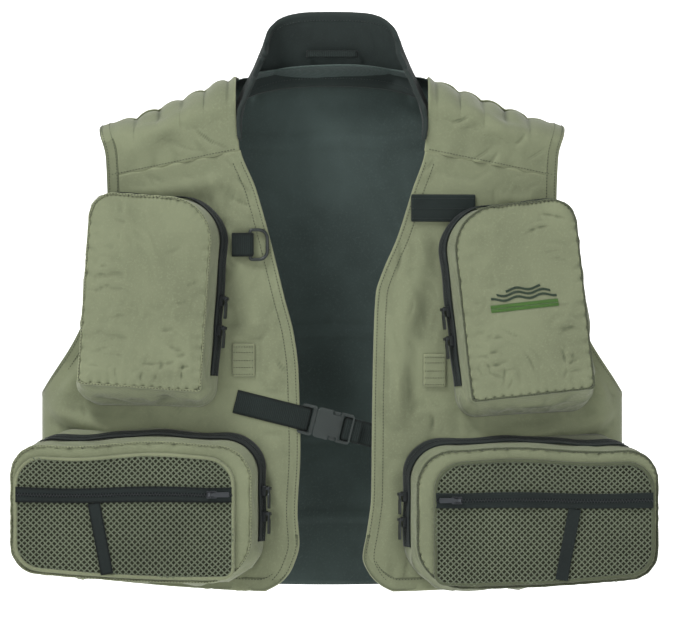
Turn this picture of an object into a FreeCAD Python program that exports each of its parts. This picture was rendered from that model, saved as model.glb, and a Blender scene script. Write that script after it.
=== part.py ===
import FreeCAD, Part
import math
import os

Vector = FreeCAD.Vector

# A zip-pocket fishing vest in the shape it has when worn. Millimetres, +Z up, the front faces -Y and
# +X is the wearer's left. It is drawn about the middle of the torso, then moved so that the origin
# sits in the hanger loop. "side" is +1 for the wearer's left and -1 for the wearer's right.

# ---- Torso ----
half_width = 309.0          # side seam to centre, at the armpit and below
half_depth = 60.0           # centre front to mid-torso
side_radius = 35.0          # rounding at the side seams
hem_mid = -571.0            # height of the hem at the centre
hem_side = -551.0           # height of the hem at the side seams
ridge_neck = -8.0           # height of the shoulder ridge beside the neck
ridge_neck_x = 62.0
shoulder_tip_x = 245.0
shoulder_drop = 71.0        # fall of the ridge from neck to shoulder tip
ridge_past = 4.0            # half depth of the shoulder arch beside the neck, past the torso's
tip_short = 14.0            # the same at the shoulder tip, short of the torso's
arch_rise = 0.75            # height of the shoulder arch over its half depth

# ---- Cloth ----
shell_cloth = 2.0           # outer fabric
lining_cloth = 1.2
seam_gap = 0.2              # between neighbouring pieces
binding_width = 12.0
binding_lift = 0.8          # how far the binding stands out from the shell

# ---- Armhole, as distances from the centre and heights ----
armhole_in = 8.0            # how far the armhole comes in below the shoulder tip
armhole_bend_z = -215.0
armpit_in = 12.0            # from the side seam
armpit_z = -350.0

# ---- Front opening ----
neck_edge_x = 99.0
neck_edge_z = -98.0
opening_half = 38.0         # below the chest
opening_bend_z = -300.0
corner_flare = 38.0         # how far the fronts curve away at the hem
corner_rise = 50.0
facing_width = 28.0
yoke_seam_z = -108.0        # at the front edge
yoke_seam_slope = 0.2       # fall of the seam towards the armhole

# ---- Collar ----
collar_thick = 5.0
collar_low_half = 101.0     # half width at its lower edge
collar_low_in = 14.0        # lower edge's back from the torso's
collar_low_z = -28.0        # lower edge at centre back
collar_low_fall = 0.68      # fall of the lower edge towards the front
collar_top_half = 62.0
collar_top_in = 22.0
collar_top_z = 42.0
collar_top_fall = 1.28
collar_front_in = 1.0       # from the torso's front

# ---- Hanger loop ----
loop_half = 28.0
loop_tape = 1.6
loop_height = 8.0
loop_gap = 7.0              # between the loop and the collar

# ---- Pockets ----
pocket_wall = 2.0
zip_width = 16.0
zip_tape_thick = 1.0
coil_width = 3.0
coil_height = 1.2

chest_depth = 32.0          # face to the torso's front
chest_face_w = 128.0
chest_face_h = 200.0
chest_gusset = 20.0         # how much wider the pocket is at the vest, inner side and bottom
chest_place = {-1: (115.0, -256.0, 4.0), 1: (110.0, -264.0, 6.4)}   # from the side, height, tilt
chest_zip_out = 6.0         # middle of the zip to the torso's front
chest_zip_low = -82.0       # lower end of the zip, from the pocket's middle
chest_sliders = (-4.0, -35.0)

cargo_depth = 35.0
cargo_face_w = 250.0
cargo_face_h = 142.0
cargo_gusset = 18.0
cargo_place = {-1: (100.0, -485.0, 0.0), 1: (95.0, -491.0, 0.0)}
cargo_zip_out = 9.0
cargo_sliders = (20.5, -6.0)

mesh_thick = 1.2
mesh_margin = 13.0          # olive cloth left round the mesh
mesh_zip_z = 18.0           # height of the mesh zip over the pocket's middle
mesh_slider_in = 22.0       # parked slider from the mesh's inner edge
divider_width = 13.0
divider_out = 0.28          # place of the divider along the mesh, from its middle
divider_slant = 14.0        # how far its foot is nearer the centre front

# ---- Sliders and pulls ----
slider_length = 11.0
slider_width = 8.0
slider_height = 4.5
slider_clearance = 0.4
coil_lean = 0.5             # how far the coil leans on a pocket's sloping side
bar_radius = 0.8
pull_clearance = 0.3
pull_eye_wall = 1.0
pull_neck = 3.2
pull_width = 5.2
pull_thick = 1.6
pull_length = 21.0
bail_wall = 1.2
pivot_offset = 2.5          # pull pivot from the slider's middle, along the zip

# ---- Strap and side release buckle ----
webbing_width = 25.0
webbing_thick = 1.6
strap_slope = 14.0          # degrees, down towards the wearer's left
buckle_x = -9.4
buckle_z = -394.0
strap_right_end = -95.0     # sewn end, from the buckle's origin
strap_left_end = 85.0
buckle_play = 0.5           # beside the webbing
buckle_half_thick = 5.0
buckle_rail = 3.0
buckle_bar = 2.0            # radius of both webbing bars
end_bar = 2.0               # the frames' outer ends
fold_clearance = 0.3
male_end = -25.0
male_bar_u = -17.75
male_nose = -9.0
female_mouth = -8.4
female_cavity_end = 18.0
female_bar_u = 24.5
female_end = 31.5
cavity_half_thick = 3.2
arm_in = 7.0                # arm's centre line from the buckle's side
arm_width = 3.0
arm_thick = 5.0
arm_start = -7.2
head_start = 9.0
head_end = 16.0
head_in = 0.6               # head's tip from the buckle's side
window_margin = 1.0

# ---- D-ring, tabs, strip and emblem ----
ring_x = -86.0
ring_z = -206.5
ring_wire = 1.75
ring_reach = 18.0
ring_play = 3.0             # past each edge of its tab, to the middle of the wire
ring_bow_radius = 12.0
tab_length = 18.0
tab_thick = 2.4
tab_size = (22.0, 33.0)
tab_place = {-1: (93.0, -327.5), 1: (108.0, -338.5)}
strip_height = 27.0
strip_place = (84.0, 144.0, -168.0)      # inner end, outer end from the side, middle height
emblem_size = (72.0, 26.0)
emblem_offset = (-1.0, 1.0)
emblem_thick = 0.8

# ---- Worked out from the sizes above ----
centre_back = ((half_width - side_radius) ** 2 - (half_depth - side_radius) ** 2) / (
    2 * (half_depth - side_radius))
front_radius = centre_back + half_depth
ridge_slope = shoulder_drop / (shoulder_tip_x - ridge_neck_x)
far = half_width + 120.0
ridge_half_depth = half_depth + ridge_past
tip_half_depth = half_depth - tip_short
collar_low_back = half_depth - collar_low_in
collar_top_back = half_depth - collar_top_in
armhole_x = shoulder_tip_x - armhole_in
armpit_x = half_width - armpit_in
collar_front_y = collar_front_in - half_depth
chest_face_y = -half_depth - chest_depth
chest_zip_y = -half_depth - chest_zip_out
cargo_face_y = -half_depth - cargo_depth
cargo_zip_y = -half_depth - cargo_zip_out
low = hem_mid - 60.0
high = collar_top_z + 40.0
lining_in = shell_cloth + seam_gap
lining_end = lining_in + lining_cloth
fold_inner = buckle_bar + fold_clearance
fold_outer = fold_inner + webbing_thick
buckle_y = fold_outer - half_depth - seam_gap - webbing_thick
buckle_half_width = webbing_width / 2 + buckle_play + buckle_rail
arm_v = buckle_half_width - arm_in
head_reach = buckle_half_width - head_in
ring_half_height = webbing_width / 2 + ring_play
left_strap_w = lining_end + seam_gap - half_depth - buckle_y     # its outer face, from the buckle's middle
loop_y = collar_top_back - collar_thick + 4.0 - loop_gap / 2
pivot_height = slider_clearance + slider_height + bar_radius + pull_clearance + pull_eye_wall + 0.4


# ---- Outlines: closed lists of (x, z, radius) corners in a plane of constant y ----

def rounded_wire(corners, y):
    """A closed wire through the corners, each rounded to its radius."""
    points = [Vector(x, y, z) for x, z, _ in corners]
    arcs = []
    for i, point in enumerate(points):
        before = points[i - 1] - point
        after = points[(i + 1) % len(points)] - point
        half_angle = before.getAngle(after) / 2
        room = 0.48 * min(before.Length, after.Length)
        cut = min(corners[i][2] / math.tan(half_angle), room)
        before.normalize()
        after.normalize()
        middle = (before + after).normalize()
        radius = cut * math.tan(half_angle)
        centre = point + middle * (radius / math.sin(half_angle))
        arcs.append((point + before * cut, centre - middle * radius, point + after * cut))
    edges = []
    for i, (start, middle, end) in enumerate(arcs):
        if (end - start).Length > 1e-6:
            edges.append(Part.Arc(start, middle, end).toShape())
        following = arcs[(i + 1) % len(arcs)][0]
        if (following - end).Length > 1e-6:
            edges.append(Part.makeLine(end, following))
    return Part.Wire(edges)


def grown(corners, amount):
    """The outline with every edge moved outwards, or inwards when the amount is negative."""
    count = len(corners)
    area = sum(corners[i - 1][0] * corners[i][1] - corners[i][0] * corners[i - 1][1]
               for i in range(count))
    turn = 1.0 if area > 0 else -1.0
    result = []
    for i in range(count):
        x, z, radius = corners[i]
        x0, z0, _ = corners[i - 1]
        x1, z1, _ = corners[(i + 1) % count]
        la, lb = math.hypot(x - x0, z - z0), math.hypot(x1 - x, z1 - z)
        na = (turn * (z - z0) / la, -turn * (x - x0) / la)
        nb = (turn * (z1 - z) / lb, -turn * (x1 - x) / lb)
        scale = amount / (1 + na[0] * nb[0] + na[1] * nb[1])
        convex = turn * ((x - x0) * (z1 - z) - (z - z0) * (x1 - x)) > 0
        new_radius = radius + amount if convex else radius - amount
        result.append((x + scale * (na[0] + nb[0]), z + scale * (na[1] + nb[1]),
                       max(new_radius, 0.5) if radius else 0.0))
    return result


def prism(corners, y0, y1):
    """The outline as a solid from y0 to y1."""
    return Part.Face(rounded_wire(corners, y0)).extrude(Vector(0, y1 - y0, 0))


def box(x0, x1, y0, y1, z0, z1):
    return Part.makeBox(x1 - x0, y1 - y0, z1 - z0, Vector(x0, y0, z0))


def mirrored(corners, side):
    return [(side * x, z, radius) for x, z, radius in corners]


# ---- The torso's shell ----

def torso_prism(inset):
    """The oval torso, upright, with tangent arcs at front, back and sides."""
    a, b, r = half_width - inset, half_depth - inset, side_radius - inset
    reach = half_width - side_radius
    big = front_radius - inset
    spread = math.atan2(reach, centre_back)
    join_x, join_y = big * math.sin(spread), big * math.cos(spread) - centre_back
    wire = Part.Wire([
        Part.Arc(Vector(-join_x, -join_y, low), Vector(0, -b, low),
                 Vector(join_x, -join_y, low)).toShape(),
        Part.Arc(Vector(join_x, -join_y, low), Vector(a, 0, low),
                 Vector(join_x, join_y, low)).toShape(),
        Part.Arc(Vector(join_x, join_y, low), Vector(0, b, low),
                 Vector(-join_x, join_y, low)).toShape(),
        Part.Arc(Vector(-join_x, join_y, low), Vector(-a, 0, low),
                 Vector(-join_x, -join_y, low)).toShape(),
    ])
    return Part.Face(wire).extrude(Vector(0, 0, high - low))


def arch_wire(x, inset):
    """The shoulder arch at one distance from the centre."""
    out = abs(x) - ridge_neck_x
    spread = (ridge_half_depth - tip_half_depth) / (shoulder_tip_x - ridge_neck_x)
    depth = ridge_half_depth - spread * out
    rise = arch_rise * depth
    spring = ridge_neck - ridge_slope * out - rise
    half, top = depth - inset, rise - inset
    ellipse = Part.Ellipse(Vector(x, half, spring), Vector(x, 0, spring + top), Vector(x, 0, spring))
    arch = Part.Arc(ellipse, 0, math.pi).toShape()
    start, end = arch.valueAt(arch.FirstParameter), arch.valueAt(arch.LastParameter)
    foot_start, foot_end = Vector(x, start.y, low), Vector(x, end.y, low)
    return Part.Wire([arch, Part.makeLine(end, foot_end), Part.makeLine(foot_end, foot_start),
                      Part.makeLine(foot_start, start)])


def torso_block(inset):
    """Everything inside the vest's surface, moved inwards by the inset."""
    wires = [arch_wire(x, inset) for x in (-far, -ridge_neck_x, ridge_neck_x, far)]
    return torso_prism(inset).common(Part.makeLoft(wires, True, True))


def torso_layer(outer, inner):
    return torso_block(outer).cut(torso_block(inner))


# ---- Outlines on the torso ----

def armhole(side, margin):
    """The area outside the armhole, drawn in by the margin."""
    corners = [(shoulder_tip_x, high, 0), (armhole_x, armhole_bend_z, 160.0),
               (armpit_x, armpit_z, 30.0), (far, armpit_z - 30, 0), (far, high, 0)]
    return prism(mirrored(grown(corners, margin), side), -half_depth - 60, half_depth + 60)


def hem_below(rise):
    """The area below the hem, raised by the rise."""
    slope = (hem_side - hem_mid) / half_width
    edge = hem_mid + slope * far + rise
    corners = [(-far, edge, 0), (0, hem_mid + rise - 6, 2400.0), (far, edge, 0), (far, low - 20, 0),
               (-far, low - 20, 0)]
    return prism(corners, -half_depth - 60, half_depth + 60)


def opening(margin):
    """The gap between the two fronts."""
    half = [(neck_edge_x, neck_edge_z, 60.0), (opening_half + 2, opening_bend_z, 220.0),
            (opening_half - 2, hem_mid + corner_rise, 45.0), (opening_half + corner_flare, hem_mid, 25.0)]
    corners = [(neck_edge_x + 8, high, 0)] + half + [(opening_half + corner_flare, low, 0)]
    corners = corners + [(-x, z, radius) for x, z, radius in reversed(corners)]
    return prism(grown(corners, margin), -half_depth - 60, 0)


def yoke_area(side, shift):
    """Everything above the yoke seam on one side."""
    inner = yoke_seam_z + yoke_seam_slope * neck_edge_x + shift
    outer = yoke_seam_z - yoke_seam_slope * (far - neck_edge_x) + shift
    corners = [(0, inner, 0), (far, outer, 0), (far, high, 0), (0, high, 0)]
    return prism(mirrored(corners, side), -half_depth - 60, 0)


def front_half(side):
    x0, x1 = sorted((0.0, side * far))
    return box(x0, x1, -half_depth - 60, -seam_gap / 2, low, high)


back_half = box(-far, far, seam_gap / 2, half_depth + 60, low, high)


# ---- Collar and neck ----

def collar_wire(half, back, z, fall, inset, front_y):
    """One edge of the collar: round at the back, straight towards the front, in a sloping plane."""
    def at(x, y):
        return Vector(x, y, z - fall * (back - y))
    half, depth = half - inset, back - inset
    ellipse_points = [at(half * math.cos(a), depth * math.sin(a))
                      for a in (0, math.pi / 6, math.pi / 3, math.pi / 2, 2 * math.pi / 3,
                                5 * math.pi / 6, math.pi)]
    curve = Part.BSplineCurve()
    down = at(0, -1) - at(0, 0)
    curve.interpolate(Points=ellipse_points, InitialTangent=down * -1, FinalTangent=down)
    front_half_width = collar_low_half - 2 - inset
    left, right = at(-front_half_width, front_y), at(front_half_width, front_y)
    return Part.Wire([curve.toShape(), Part.makeLine(ellipse_points[-1], left),
                      Part.makeLine(left, right), Part.makeLine(right, ellipse_points[0])])


def collar_block(inset, front_y=collar_front_y):
    low_wire = collar_wire(collar_low_half, collar_low_back, collar_low_z, collar_low_fall,
                           inset, front_y)
    top_wire = collar_wire(collar_top_half, collar_top_back, collar_top_z, collar_top_fall,
                           inset, front_y)
    return Part.makeLoft([low_wire, top_wire], True, True)


def collar():
    return collar_block(0).cut(collar_block(collar_thick, collar_front_y - 20))


def neck_hole():
    """The collar's own space and everything over it."""
    top = collar_wire(collar_top_half, collar_top_back, collar_top_z, collar_top_fall,
                      -seam_gap, collar_front_y - 20)
    over = Part.Face(top).extrude(Vector(0, 0, 120))
    return collar_block(-seam_gap, collar_front_y - 20).fuse(over)


def hanger_loop():
    """A narrow tape sewn inside the collar at both ends, standing off in the middle."""
    front = loop_y - loop_gap / 2 - loop_tape
    outer = box(-loop_half, loop_half, front, half_depth, -loop_height / 2, loop_height / 2)
    inner = box(-loop_half + loop_tape, loop_half - loop_tape, front + loop_tape, half_depth + 1,
                -loop_height, loop_height)
    return outer.cut(inner).common(collar_block(collar_thick + seam_gap))


# ---- Torso pieces ----

def trimmed(shape, side_margin):
    """A torso layer with armholes and neck cut out and the hem trimmed."""
    for cutter in (armhole(-1, side_margin), armhole(1, side_margin), neck_hole(),
                   hem_below(binding_width if side_margin else 0)):
        shape = shape.cut(cutter)
    return shape


def body_pieces():
    margin = binding_width + seam_gap
    shell = trimmed(torso_layer(0, shell_cloth), margin)
    inner = trimmed(torso_layer(lining_in, lining_end), margin)
    pieces = {"back_panel": shell.common(back_half), "back_lining": inner.common(back_half)}
    gap, facing = opening(0), opening(facing_width)
    for side, tag in ((-1, "r"), (1, "l")):
        front = shell.common(front_half(side)).cut(gap)
        pieces["yoke_" + tag] = front.common(yoke_area(side, seam_gap))
        pieces["front_panel_" + tag] = front.cut(yoke_area(side, 0))
        pieces["front_facing_" + tag] = inner.common(front_half(side)).common(facing).cut(gap)
    edge = torso_layer(-binding_lift, lining_end + binding_lift)
    for side, tag in ((-1, "r"), (1, "l")):
        band = edge.common(armhole(side, binding_width)).cut(armhole(side, 0))
        pieces["armhole_binding_" + tag] = band
    hem = edge.common(hem_below(binding_width - seam_gap)).cut(hem_below(0)).cut(gap)
    pieces["hem_binding"] = hem
    return pieces


def raised_bindings(side):
    """The space that the armhole and hem bindings take, with a clearance."""
    reach = binding_width + seam_gap
    raised = torso_block(-binding_lift - seam_gap)
    return raised.common(armhole(side, reach).fuse(hem_below(reach)))


# ---- Pockets ----

def pocket_frame(place, side):
    """The pocket's origin and its inward and upward directions."""
    from_side, up, tilt = place
    out = half_width - from_side
    angle = math.radians(tilt)
    inward = Vector(-side * math.cos(angle), 0, -math.sin(angle))
    upward = Vector(-side * math.sin(angle), 0, math.cos(angle))
    return Vector(side * out, 0, up), inward, upward


class Pocket:
    """A tub on the vest's front: a face outline and a wider outline where it meets the vest."""

    def __init__(self, side, place, face, base, face_y):
        self.side, self.face, self.base, self.face_y = side, face, base, face_y
        self.origin, self.inward, self.upward = pocket_frame(place, side)
        self.base_y = -half_depth + 12.0

    def share(self, y):
        return (y - self.base_y) / (self.face_y - self.base_y)

    def corners(self, y, growth):
        t = self.share(y)
        local = [(bu + t * (fu - bu), bw + t * (fw - bw), br + t * (fr - br))
                 for (bu, bw, br), (fu, fw, fr) in zip(self.base, self.face)]
        return [self.placed(u, w) + (radius,) for u, w, radius in grown(local, growth)]

    def placed(self, u, w):
        point = self.origin + self.inward * u + self.upward * w
        return point.x, point.z

    def block(self, growth, y0, y1):
        return Part.makeLoft([rounded_wire(self.corners(y, growth), y) for y in (y0, y1)], True, True)

    def body(self):
        """A tub open at the back, where the vest closes it."""
        outer = self.block(0, -side_radius / 2, self.face_y)
        hollow = self.block(-pocket_wall, 0, self.face_y + pocket_wall)
        return outer.cut(hollow).cut(torso_block(-seam_gap)).cut(raised_bindings(self.side))

    def zip_band(self, growth, thick, y, width, area):
        y0, y1 = y + width / 2, y - width / 2
        ring = self.block(growth + thick, y0, y1).cut(self.block(growth, y0 + 1, y1 - 1))
        return ring.common(area)

    def zip(self, y, area):
        """The tape with its coil along the middle."""
        tape = self.zip_band(seam_gap, zip_tape_thick, y, zip_width, area)
        coil = self.zip_band(seam_gap + zip_tape_thick / 2, zip_tape_thick / 2 + coil_height, y,
                             coil_width, area)
        return tape.fuse(coil).removeSplitter()

    def area(self, corners):
        """A prism with local corners, through the whole pocket."""
        return prism([self.placed(u, w) + (0,) for u, w in corners], self.face_y - 20, 0)

    def track(self, y, w):
        """A point on the inner side's tape, with the zip's direction and the outward normal."""
        t = self.share(y)
        u = self.base[0][0] + t * (self.face[0][0] - self.base[0][0]) + seam_gap + zip_tape_thick
        drop = self.base[0][0] - self.face[0][0]
        depth = self.base_y - self.face_y
        normal = (self.inward * depth + Vector(0, -drop, 0)).normalize()
        point = self.origin + self.inward * u + self.upward * w
        return Vector(point.x, y, point.z), self.upward, normal


def tub_outline(width, height, extra_in, extra_low, radii):
    """Local corners in the order inner top, inner bottom, outer bottom, outer top."""
    u, w = width / 2, height / 2
    return [(u + extra_in, w, radii[0]), (u + extra_in, -w - extra_low, radii[1]),
            (-u, -w - extra_low, radii[2]), (-u, w, radii[3])]


def chest_pocket(side):
    radii = (45.0, 14.0, 10.0, 26.0)
    face = tub_outline(chest_face_w, chest_face_h, 0, 0, radii)
    base = tub_outline(chest_face_w, chest_face_h, chest_gusset, chest_gusset, radii)
    return Pocket(side, chest_place[side], face, base, chest_face_y)


def cargo_pocket(side):
    u, w = cargo_face_w / 2, cargo_face_h / 2
    face = [(u, w, 40.0), (u, -w - 3, 45.0), (-u, -w + 8, 12.0), (-u, w, 28.0)]
    base = [(u + cargo_gusset, w + cargo_gusset - 4, 40.0), (u + cargo_gusset, -w - 3, 45.0),
            (-u + 24, -w + 8, 12.0), (-u + 24, w + cargo_gusset - 4, 28.0)]
    return Pocket(side, cargo_place[side], face, base, cargo_face_y)


def chest_zip(pocket):
    u, w = chest_face_w / 2, chest_face_h / 2
    area = pocket.area([(-u + 20, w - 30), (-u + 20, w + 40), (u + 60, w + 40), (u + 60, chest_zip_low),
                        (u - 30, chest_zip_low), (u - 30, w - 30)])
    return pocket.zip(chest_zip_y, area)


def cargo_zip(pocket):
    u, w = cargo_face_w / 2, cargo_face_h / 2
    area = pocket.area([(-u + 14, w - 20), (-u + 14, w + 50), (u + 60, w + 50), (u + 60, -w + 12),
                        (u - 20, -w + 12), (u - 20, w - 20)])
    return pocket.zip(cargo_zip_y, area)


def on_face(pocket, corners, layer, thick):
    """A flat piece in front of the pocket's face, from local corners."""
    y = pocket.face_y - layer
    return prism([pocket.placed(u, w) + (radius,) for u, w, radius in corners], y - thick, y)


def mesh_span():
    """The mesh's outer and inner edges and its lower and upper edges, from the pocket's middle."""
    u, w = cargo_face_w / 2, cargo_face_h / 2
    return -u + 5.0, u - mesh_margin - 6.0, -w + 3.0, w - mesh_margin


def cargo_mesh(pocket):
    u0, u1, w0, w1 = mesh_span()
    corners = [(u1, w1, 30.0), (u1, w0 - 2, 8.0), (u0, w0 + 8, 10.0), (u0, w1, 22.0)]
    return on_face(pocket, corners, seam_gap, mesh_thick)


def mesh_zip(pocket):
    u0, u1, _, _ = mesh_span()
    w = mesh_zip_z
    layer = 2 * seam_gap + mesh_thick
    tape = on_face(pocket, [(u1, w + zip_width / 2, 0), (u1, w - zip_width / 2, 0),
                            (u0, w - zip_width / 2, 0), (u0, w + zip_width / 2, 0)],
                   layer, zip_tape_thick)
    coil = on_face(pocket, [(u1, w + coil_width / 2, 0), (u1, w - coil_width / 2, 0),
                            (u0, w - coil_width / 2, 0), (u0, w + coil_width / 2, 0)],
                   layer + zip_tape_thick / 2, zip_tape_thick / 2 + coil_height)
    return tape.fuse(coil).removeSplitter()


def divider_tape(pocket):
    u0, u1, w0, _ = mesh_span()
    top = mesh_zip_z - zip_width / 2 - seam_gap
    u = (u0 + u1) / 2 - divider_out * (u1 - u0) / 2
    half = divider_width / 2
    corners = [(u - half, top, 0), (u + half, top, 0), (u + half + divider_slant, w0 + 6, 0),
               (u - half + divider_slant, w0 + 6, 0)]
    return on_face(pocket, corners, 2 * seam_gap + mesh_thick, zip_tape_thick)


# ---- Zip sliders and pulls, drawn with the zip along Z and outwards along -Y ----

def slider_shape():
    """A block that straddles the coil, with a bail over it."""
    near, top = slider_clearance, slider_clearance + slider_height
    half = slider_width / 2
    block = box(-half, half, -top, -near, -slider_length / 2, slider_length / 2)
    block = block.makeFillet(1.2, [e for e in block.Edges if abs(e.tangentAt(e.FirstParameter).y) > 0.9])
    channel = coil_width / 2 + coil_lean + slider_clearance
    block = block.cut(box(-channel, channel, -coil_height - 2 * slider_clearance, 0,
                          -slider_length, slider_length))
    inner = pull_neck / 2 + slider_clearance
    post = inner + bail_wall
    reach = 2 * bar_radius
    for x0, x1 in ((-post, -inner), (inner, post)):
        block = block.fuse(box(x0, x1, -pivot_height - reach, -top + 0.5, pivot_offset - reach,
                               pivot_offset + reach))
    bar = Part.makeCylinder(bar_radius, 2 * post, Vector(-post, -pivot_height, pivot_offset),
                            Vector(1, 0, 0))
    return block.fuse(bar).removeSplitter()


def pull_shape():
    """An eye round the bail's bar and a flat tab hanging from it."""
    inner = bar_radius + pull_clearance
    outer = inner + pull_eye_wall
    start = Vector(-pull_neck / 2, -pivot_height, pivot_offset)
    neck_end = pivot_offset - outer - 3.0
    tip = pivot_offset - pull_length
    shape = Part.makeCylinder(outer, pull_neck, start, Vector(1, 0, 0))
    y0, y1 = -pivot_height - pull_thick / 2, -pivot_height + pull_thick / 2
    shape = shape.fuse(box(-pull_neck / 2, pull_neck / 2, y0, y1, neck_end, pivot_offset))
    tab = box(-pull_width / 2, pull_width / 2, y0, y1, tip, neck_end)
    tab = tab.makeFillet(1.5, [e for e in tab.Edges if abs(e.tangentAt(e.FirstParameter).y) > 0.9])
    shape = shape.fuse(tab)
    return shape.cut(Part.makeCylinder(inner, pull_neck + 2, start - Vector(1, 0, 0),
                                       Vector(1, 0, 0))).removeSplitter()


def on_track(shape, point, along, normal):
    """Moves a slider or pull from its own frame onto a zip."""
    across = along.cross(normal * -1)
    matrix = FreeCAD.Matrix(across.x, -normal.x, along.x, point.x,
                            across.y, -normal.y, along.y, point.y,
                            across.z, -normal.z, along.z, point.z,
                            0, 0, 0, 1)
    placed = shape.copy()
    placed.transformShape(matrix)
    return placed


def mesh_track(pocket):
    """The parked place of the slider on the mesh zip, its pull pointing inwards."""
    _, u1, _, _ = mesh_span()
    point = pocket.origin + pocket.inward * (u1 - mesh_slider_in) + pocket.upward * mesh_zip_z
    y = pocket.face_y - 2 * seam_gap - mesh_thick - zip_tape_thick
    return Vector(point.x, y, point.z), pocket.inward * -1, Vector(0, -1, 0)


def slider_places():
    """Every slider's name with its point, zip direction and normal."""
    places = {}
    for side, tag in ((-1, "r"), (1, "l")):
        chest, cargo = chest_pocket(side), cargo_pocket(side)
        for level, w in zip(("upper", "lower"), chest_sliders):
            places["chest_" + level + "_" + tag] = chest.track(chest_zip_y, w)
        for level, w in zip(("upper", "lower"), cargo_sliders):
            places["cargo_" + level + "_" + tag] = cargo.track(cargo_zip_y, w)
        places["mesh_" + tag] = mesh_track(cargo)
    return places


def zip_hardware():
    pieces = {}
    slider, pull = slider_shape(), pull_shape()
    for name, (point, along, normal) in slider_places().items():
        pieces["slider_" + name] = on_track(slider, point, along, normal)
        pieces["pull_" + name] = on_track(pull, point, along, normal)
    return pieces


# ---- Strap and buckle, drawn along X about the buckle's origin, then tilted and moved ----

def on_strap(shape):
    placed = shape.copy()
    placed.rotate(Vector(0, 0, 0), Vector(0, 1, 0), strap_slope)
    placed.translate(Vector(buckle_x, buckle_y, buckle_z))
    return placed


def webbing(u0, u1, bar_u, outer, inner):
    """Webbing along the torso's surface, folded round a buckle bar."""
    half = webbing_width / 2
    area = on_strap(box(u0, u1, -30, 30, -half, half))
    ribbon = torso_layer(outer, inner).common(area)
    fold = Part.makeCylinder(fold_outer, webbing_width, Vector(bar_u, 0, -half))
    hole = Part.makeCylinder(fold_inner, webbing_width + 2, Vector(bar_u, 0, -half - 1))
    return ribbon.cut(on_strap(hole)).fuse(on_strap(fold.cut(hole))).removeSplitter()


def strap_right():
    outer = -seam_gap - webbing_thick
    return webbing(strap_right_end, male_bar_u, male_bar_u, outer, -seam_gap)


def strap_left():
    outer = lining_end + seam_gap
    ribbon = webbing(female_bar_u, strap_left_end, female_bar_u, outer, outer + webbing_thick)
    return ribbon


def rounded_block(u0, u1, half_v, half_w, radius):
    block = box(u0, u1, -half_w, half_w, -half_v, half_v)
    long_edges = [e for e in block.Edges if abs(e.tangentAt(e.FirstParameter).y) > 0.9]
    return block.makeFillet(radius, long_edges)


def buckle_bar_at(u):
    span = buckle_half_width - buckle_rail + 0.5
    return Part.makeCylinder(buckle_bar, 2 * span, Vector(u, 0, -span))


def buckle_male():
    """The webbing frame with a centre guide between the spring arms."""
    window_end = male_bar_u + fold_outer + window_margin
    frame = rounded_block(male_end, male_nose, buckle_half_width, buckle_half_thick, 3.0)
    inner = buckle_half_width - buckle_rail
    frame = frame.cut(box(male_end + end_bar, window_end, -10, 10, -inner, inner))
    strap_space = 2 * fold_clearance - buckle_bar
    frame = frame.cut(box(male_end - 1, window_end, -10, strap_space, -inner, inner))
    guide = box(male_nose - 1, head_start, -1.5, 1.5, -2.0, 2.0)
    return on_strap(frame.fuse(buckle_bar_at(male_bar_u)).fuse(guide).removeSplitter())


def buckle_arm(sign):
    """A spring arm with the head that fills the buckle's side window."""
    half = arm_width / 2
    low_v, high_v = sorted((sign * (arm_v - half), sign * (arm_v + half)))
    arm = box(arm_start, head_end, -arm_thick / 2, arm_thick / 2, low_v, high_v)
    low_v, high_v = sorted((sign * (arm_v - half), sign * head_reach))
    arm = arm.fuse(box(head_start, head_end, -arm_thick / 2, arm_thick / 2, low_v, high_v))
    root = Part.makeCylinder(half, arm_thick, Vector(arm_start, -arm_thick / 2, sign * arm_v),
                             Vector(0, 1, 0))
    return on_strap(arm.fuse(root).removeSplitter())


def buckle_female():
    """The hollow body with a mouth, two side windows and a webbing bar."""
    body = rounded_block(female_mouth, female_end, buckle_half_width, buckle_half_thick, 4.0)
    inner = buckle_half_width - buckle_rail
    cavity = box(female_mouth - 5, female_cavity_end, -cavity_half_thick, cavity_half_thick,
                 -inner, inner)
    body = body.cut(cavity)
    for low_v, high_v in ((-buckle_half_width - 1, -inner + 1.5), (inner - 1.5, buckle_half_width + 1)):
        body = body.cut(box(head_start - window_margin, head_end + window_margin, -10, 10,
                            low_v, high_v))
    window_start = female_bar_u - fold_outer - window_margin
    body = body.cut(box(window_start, female_end - end_bar, -10, 10, -inner, inner))
    body = body.cut(box(window_start, female_end + 1, left_strap_w - fold_clearance, 10, -inner, inner))
    return on_strap(body.fuse(buckle_bar_at(female_bar_u)).removeSplitter())


# ---- D-ring, tabs, strip and emblem ----

def surface_patch(corners, thick):
    """A flat piece that follows the vest's front surface."""
    area = prism(corners, -half_depth - 20, -side_radius)
    return torso_layer(-seam_gap - thick, -seam_gap).common(area)


def front_y(x):
    return centre_back - math.sqrt(front_radius ** 2 - x ** 2)


def ring_centre_y():
    return front_y(ring_x) - 2 * seam_gap - ring_wire - fold_clearance - webbing_thick


def d_ring():
    y = ring_centre_y()
    right = ring_x + ring_reach
    path = rounded_wire([(ring_x, ring_z - ring_half_height, 2.5),
                         (right, ring_z - ring_half_height, ring_bow_radius),
                         (right, ring_z + ring_half_height, ring_bow_radius),
                         (ring_x, ring_z + ring_half_height, 2.5)], y)
    start = path.Edges[0].valueAt(path.Edges[0].FirstParameter)
    along = path.Edges[0].tangentAt(path.Edges[0].FirstParameter)
    ring = Part.Wire([Part.makeCircle(ring_wire, start, along)])
    return Part.Wire(path.Edges).makePipeShell([ring], True, False, 2)


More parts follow.
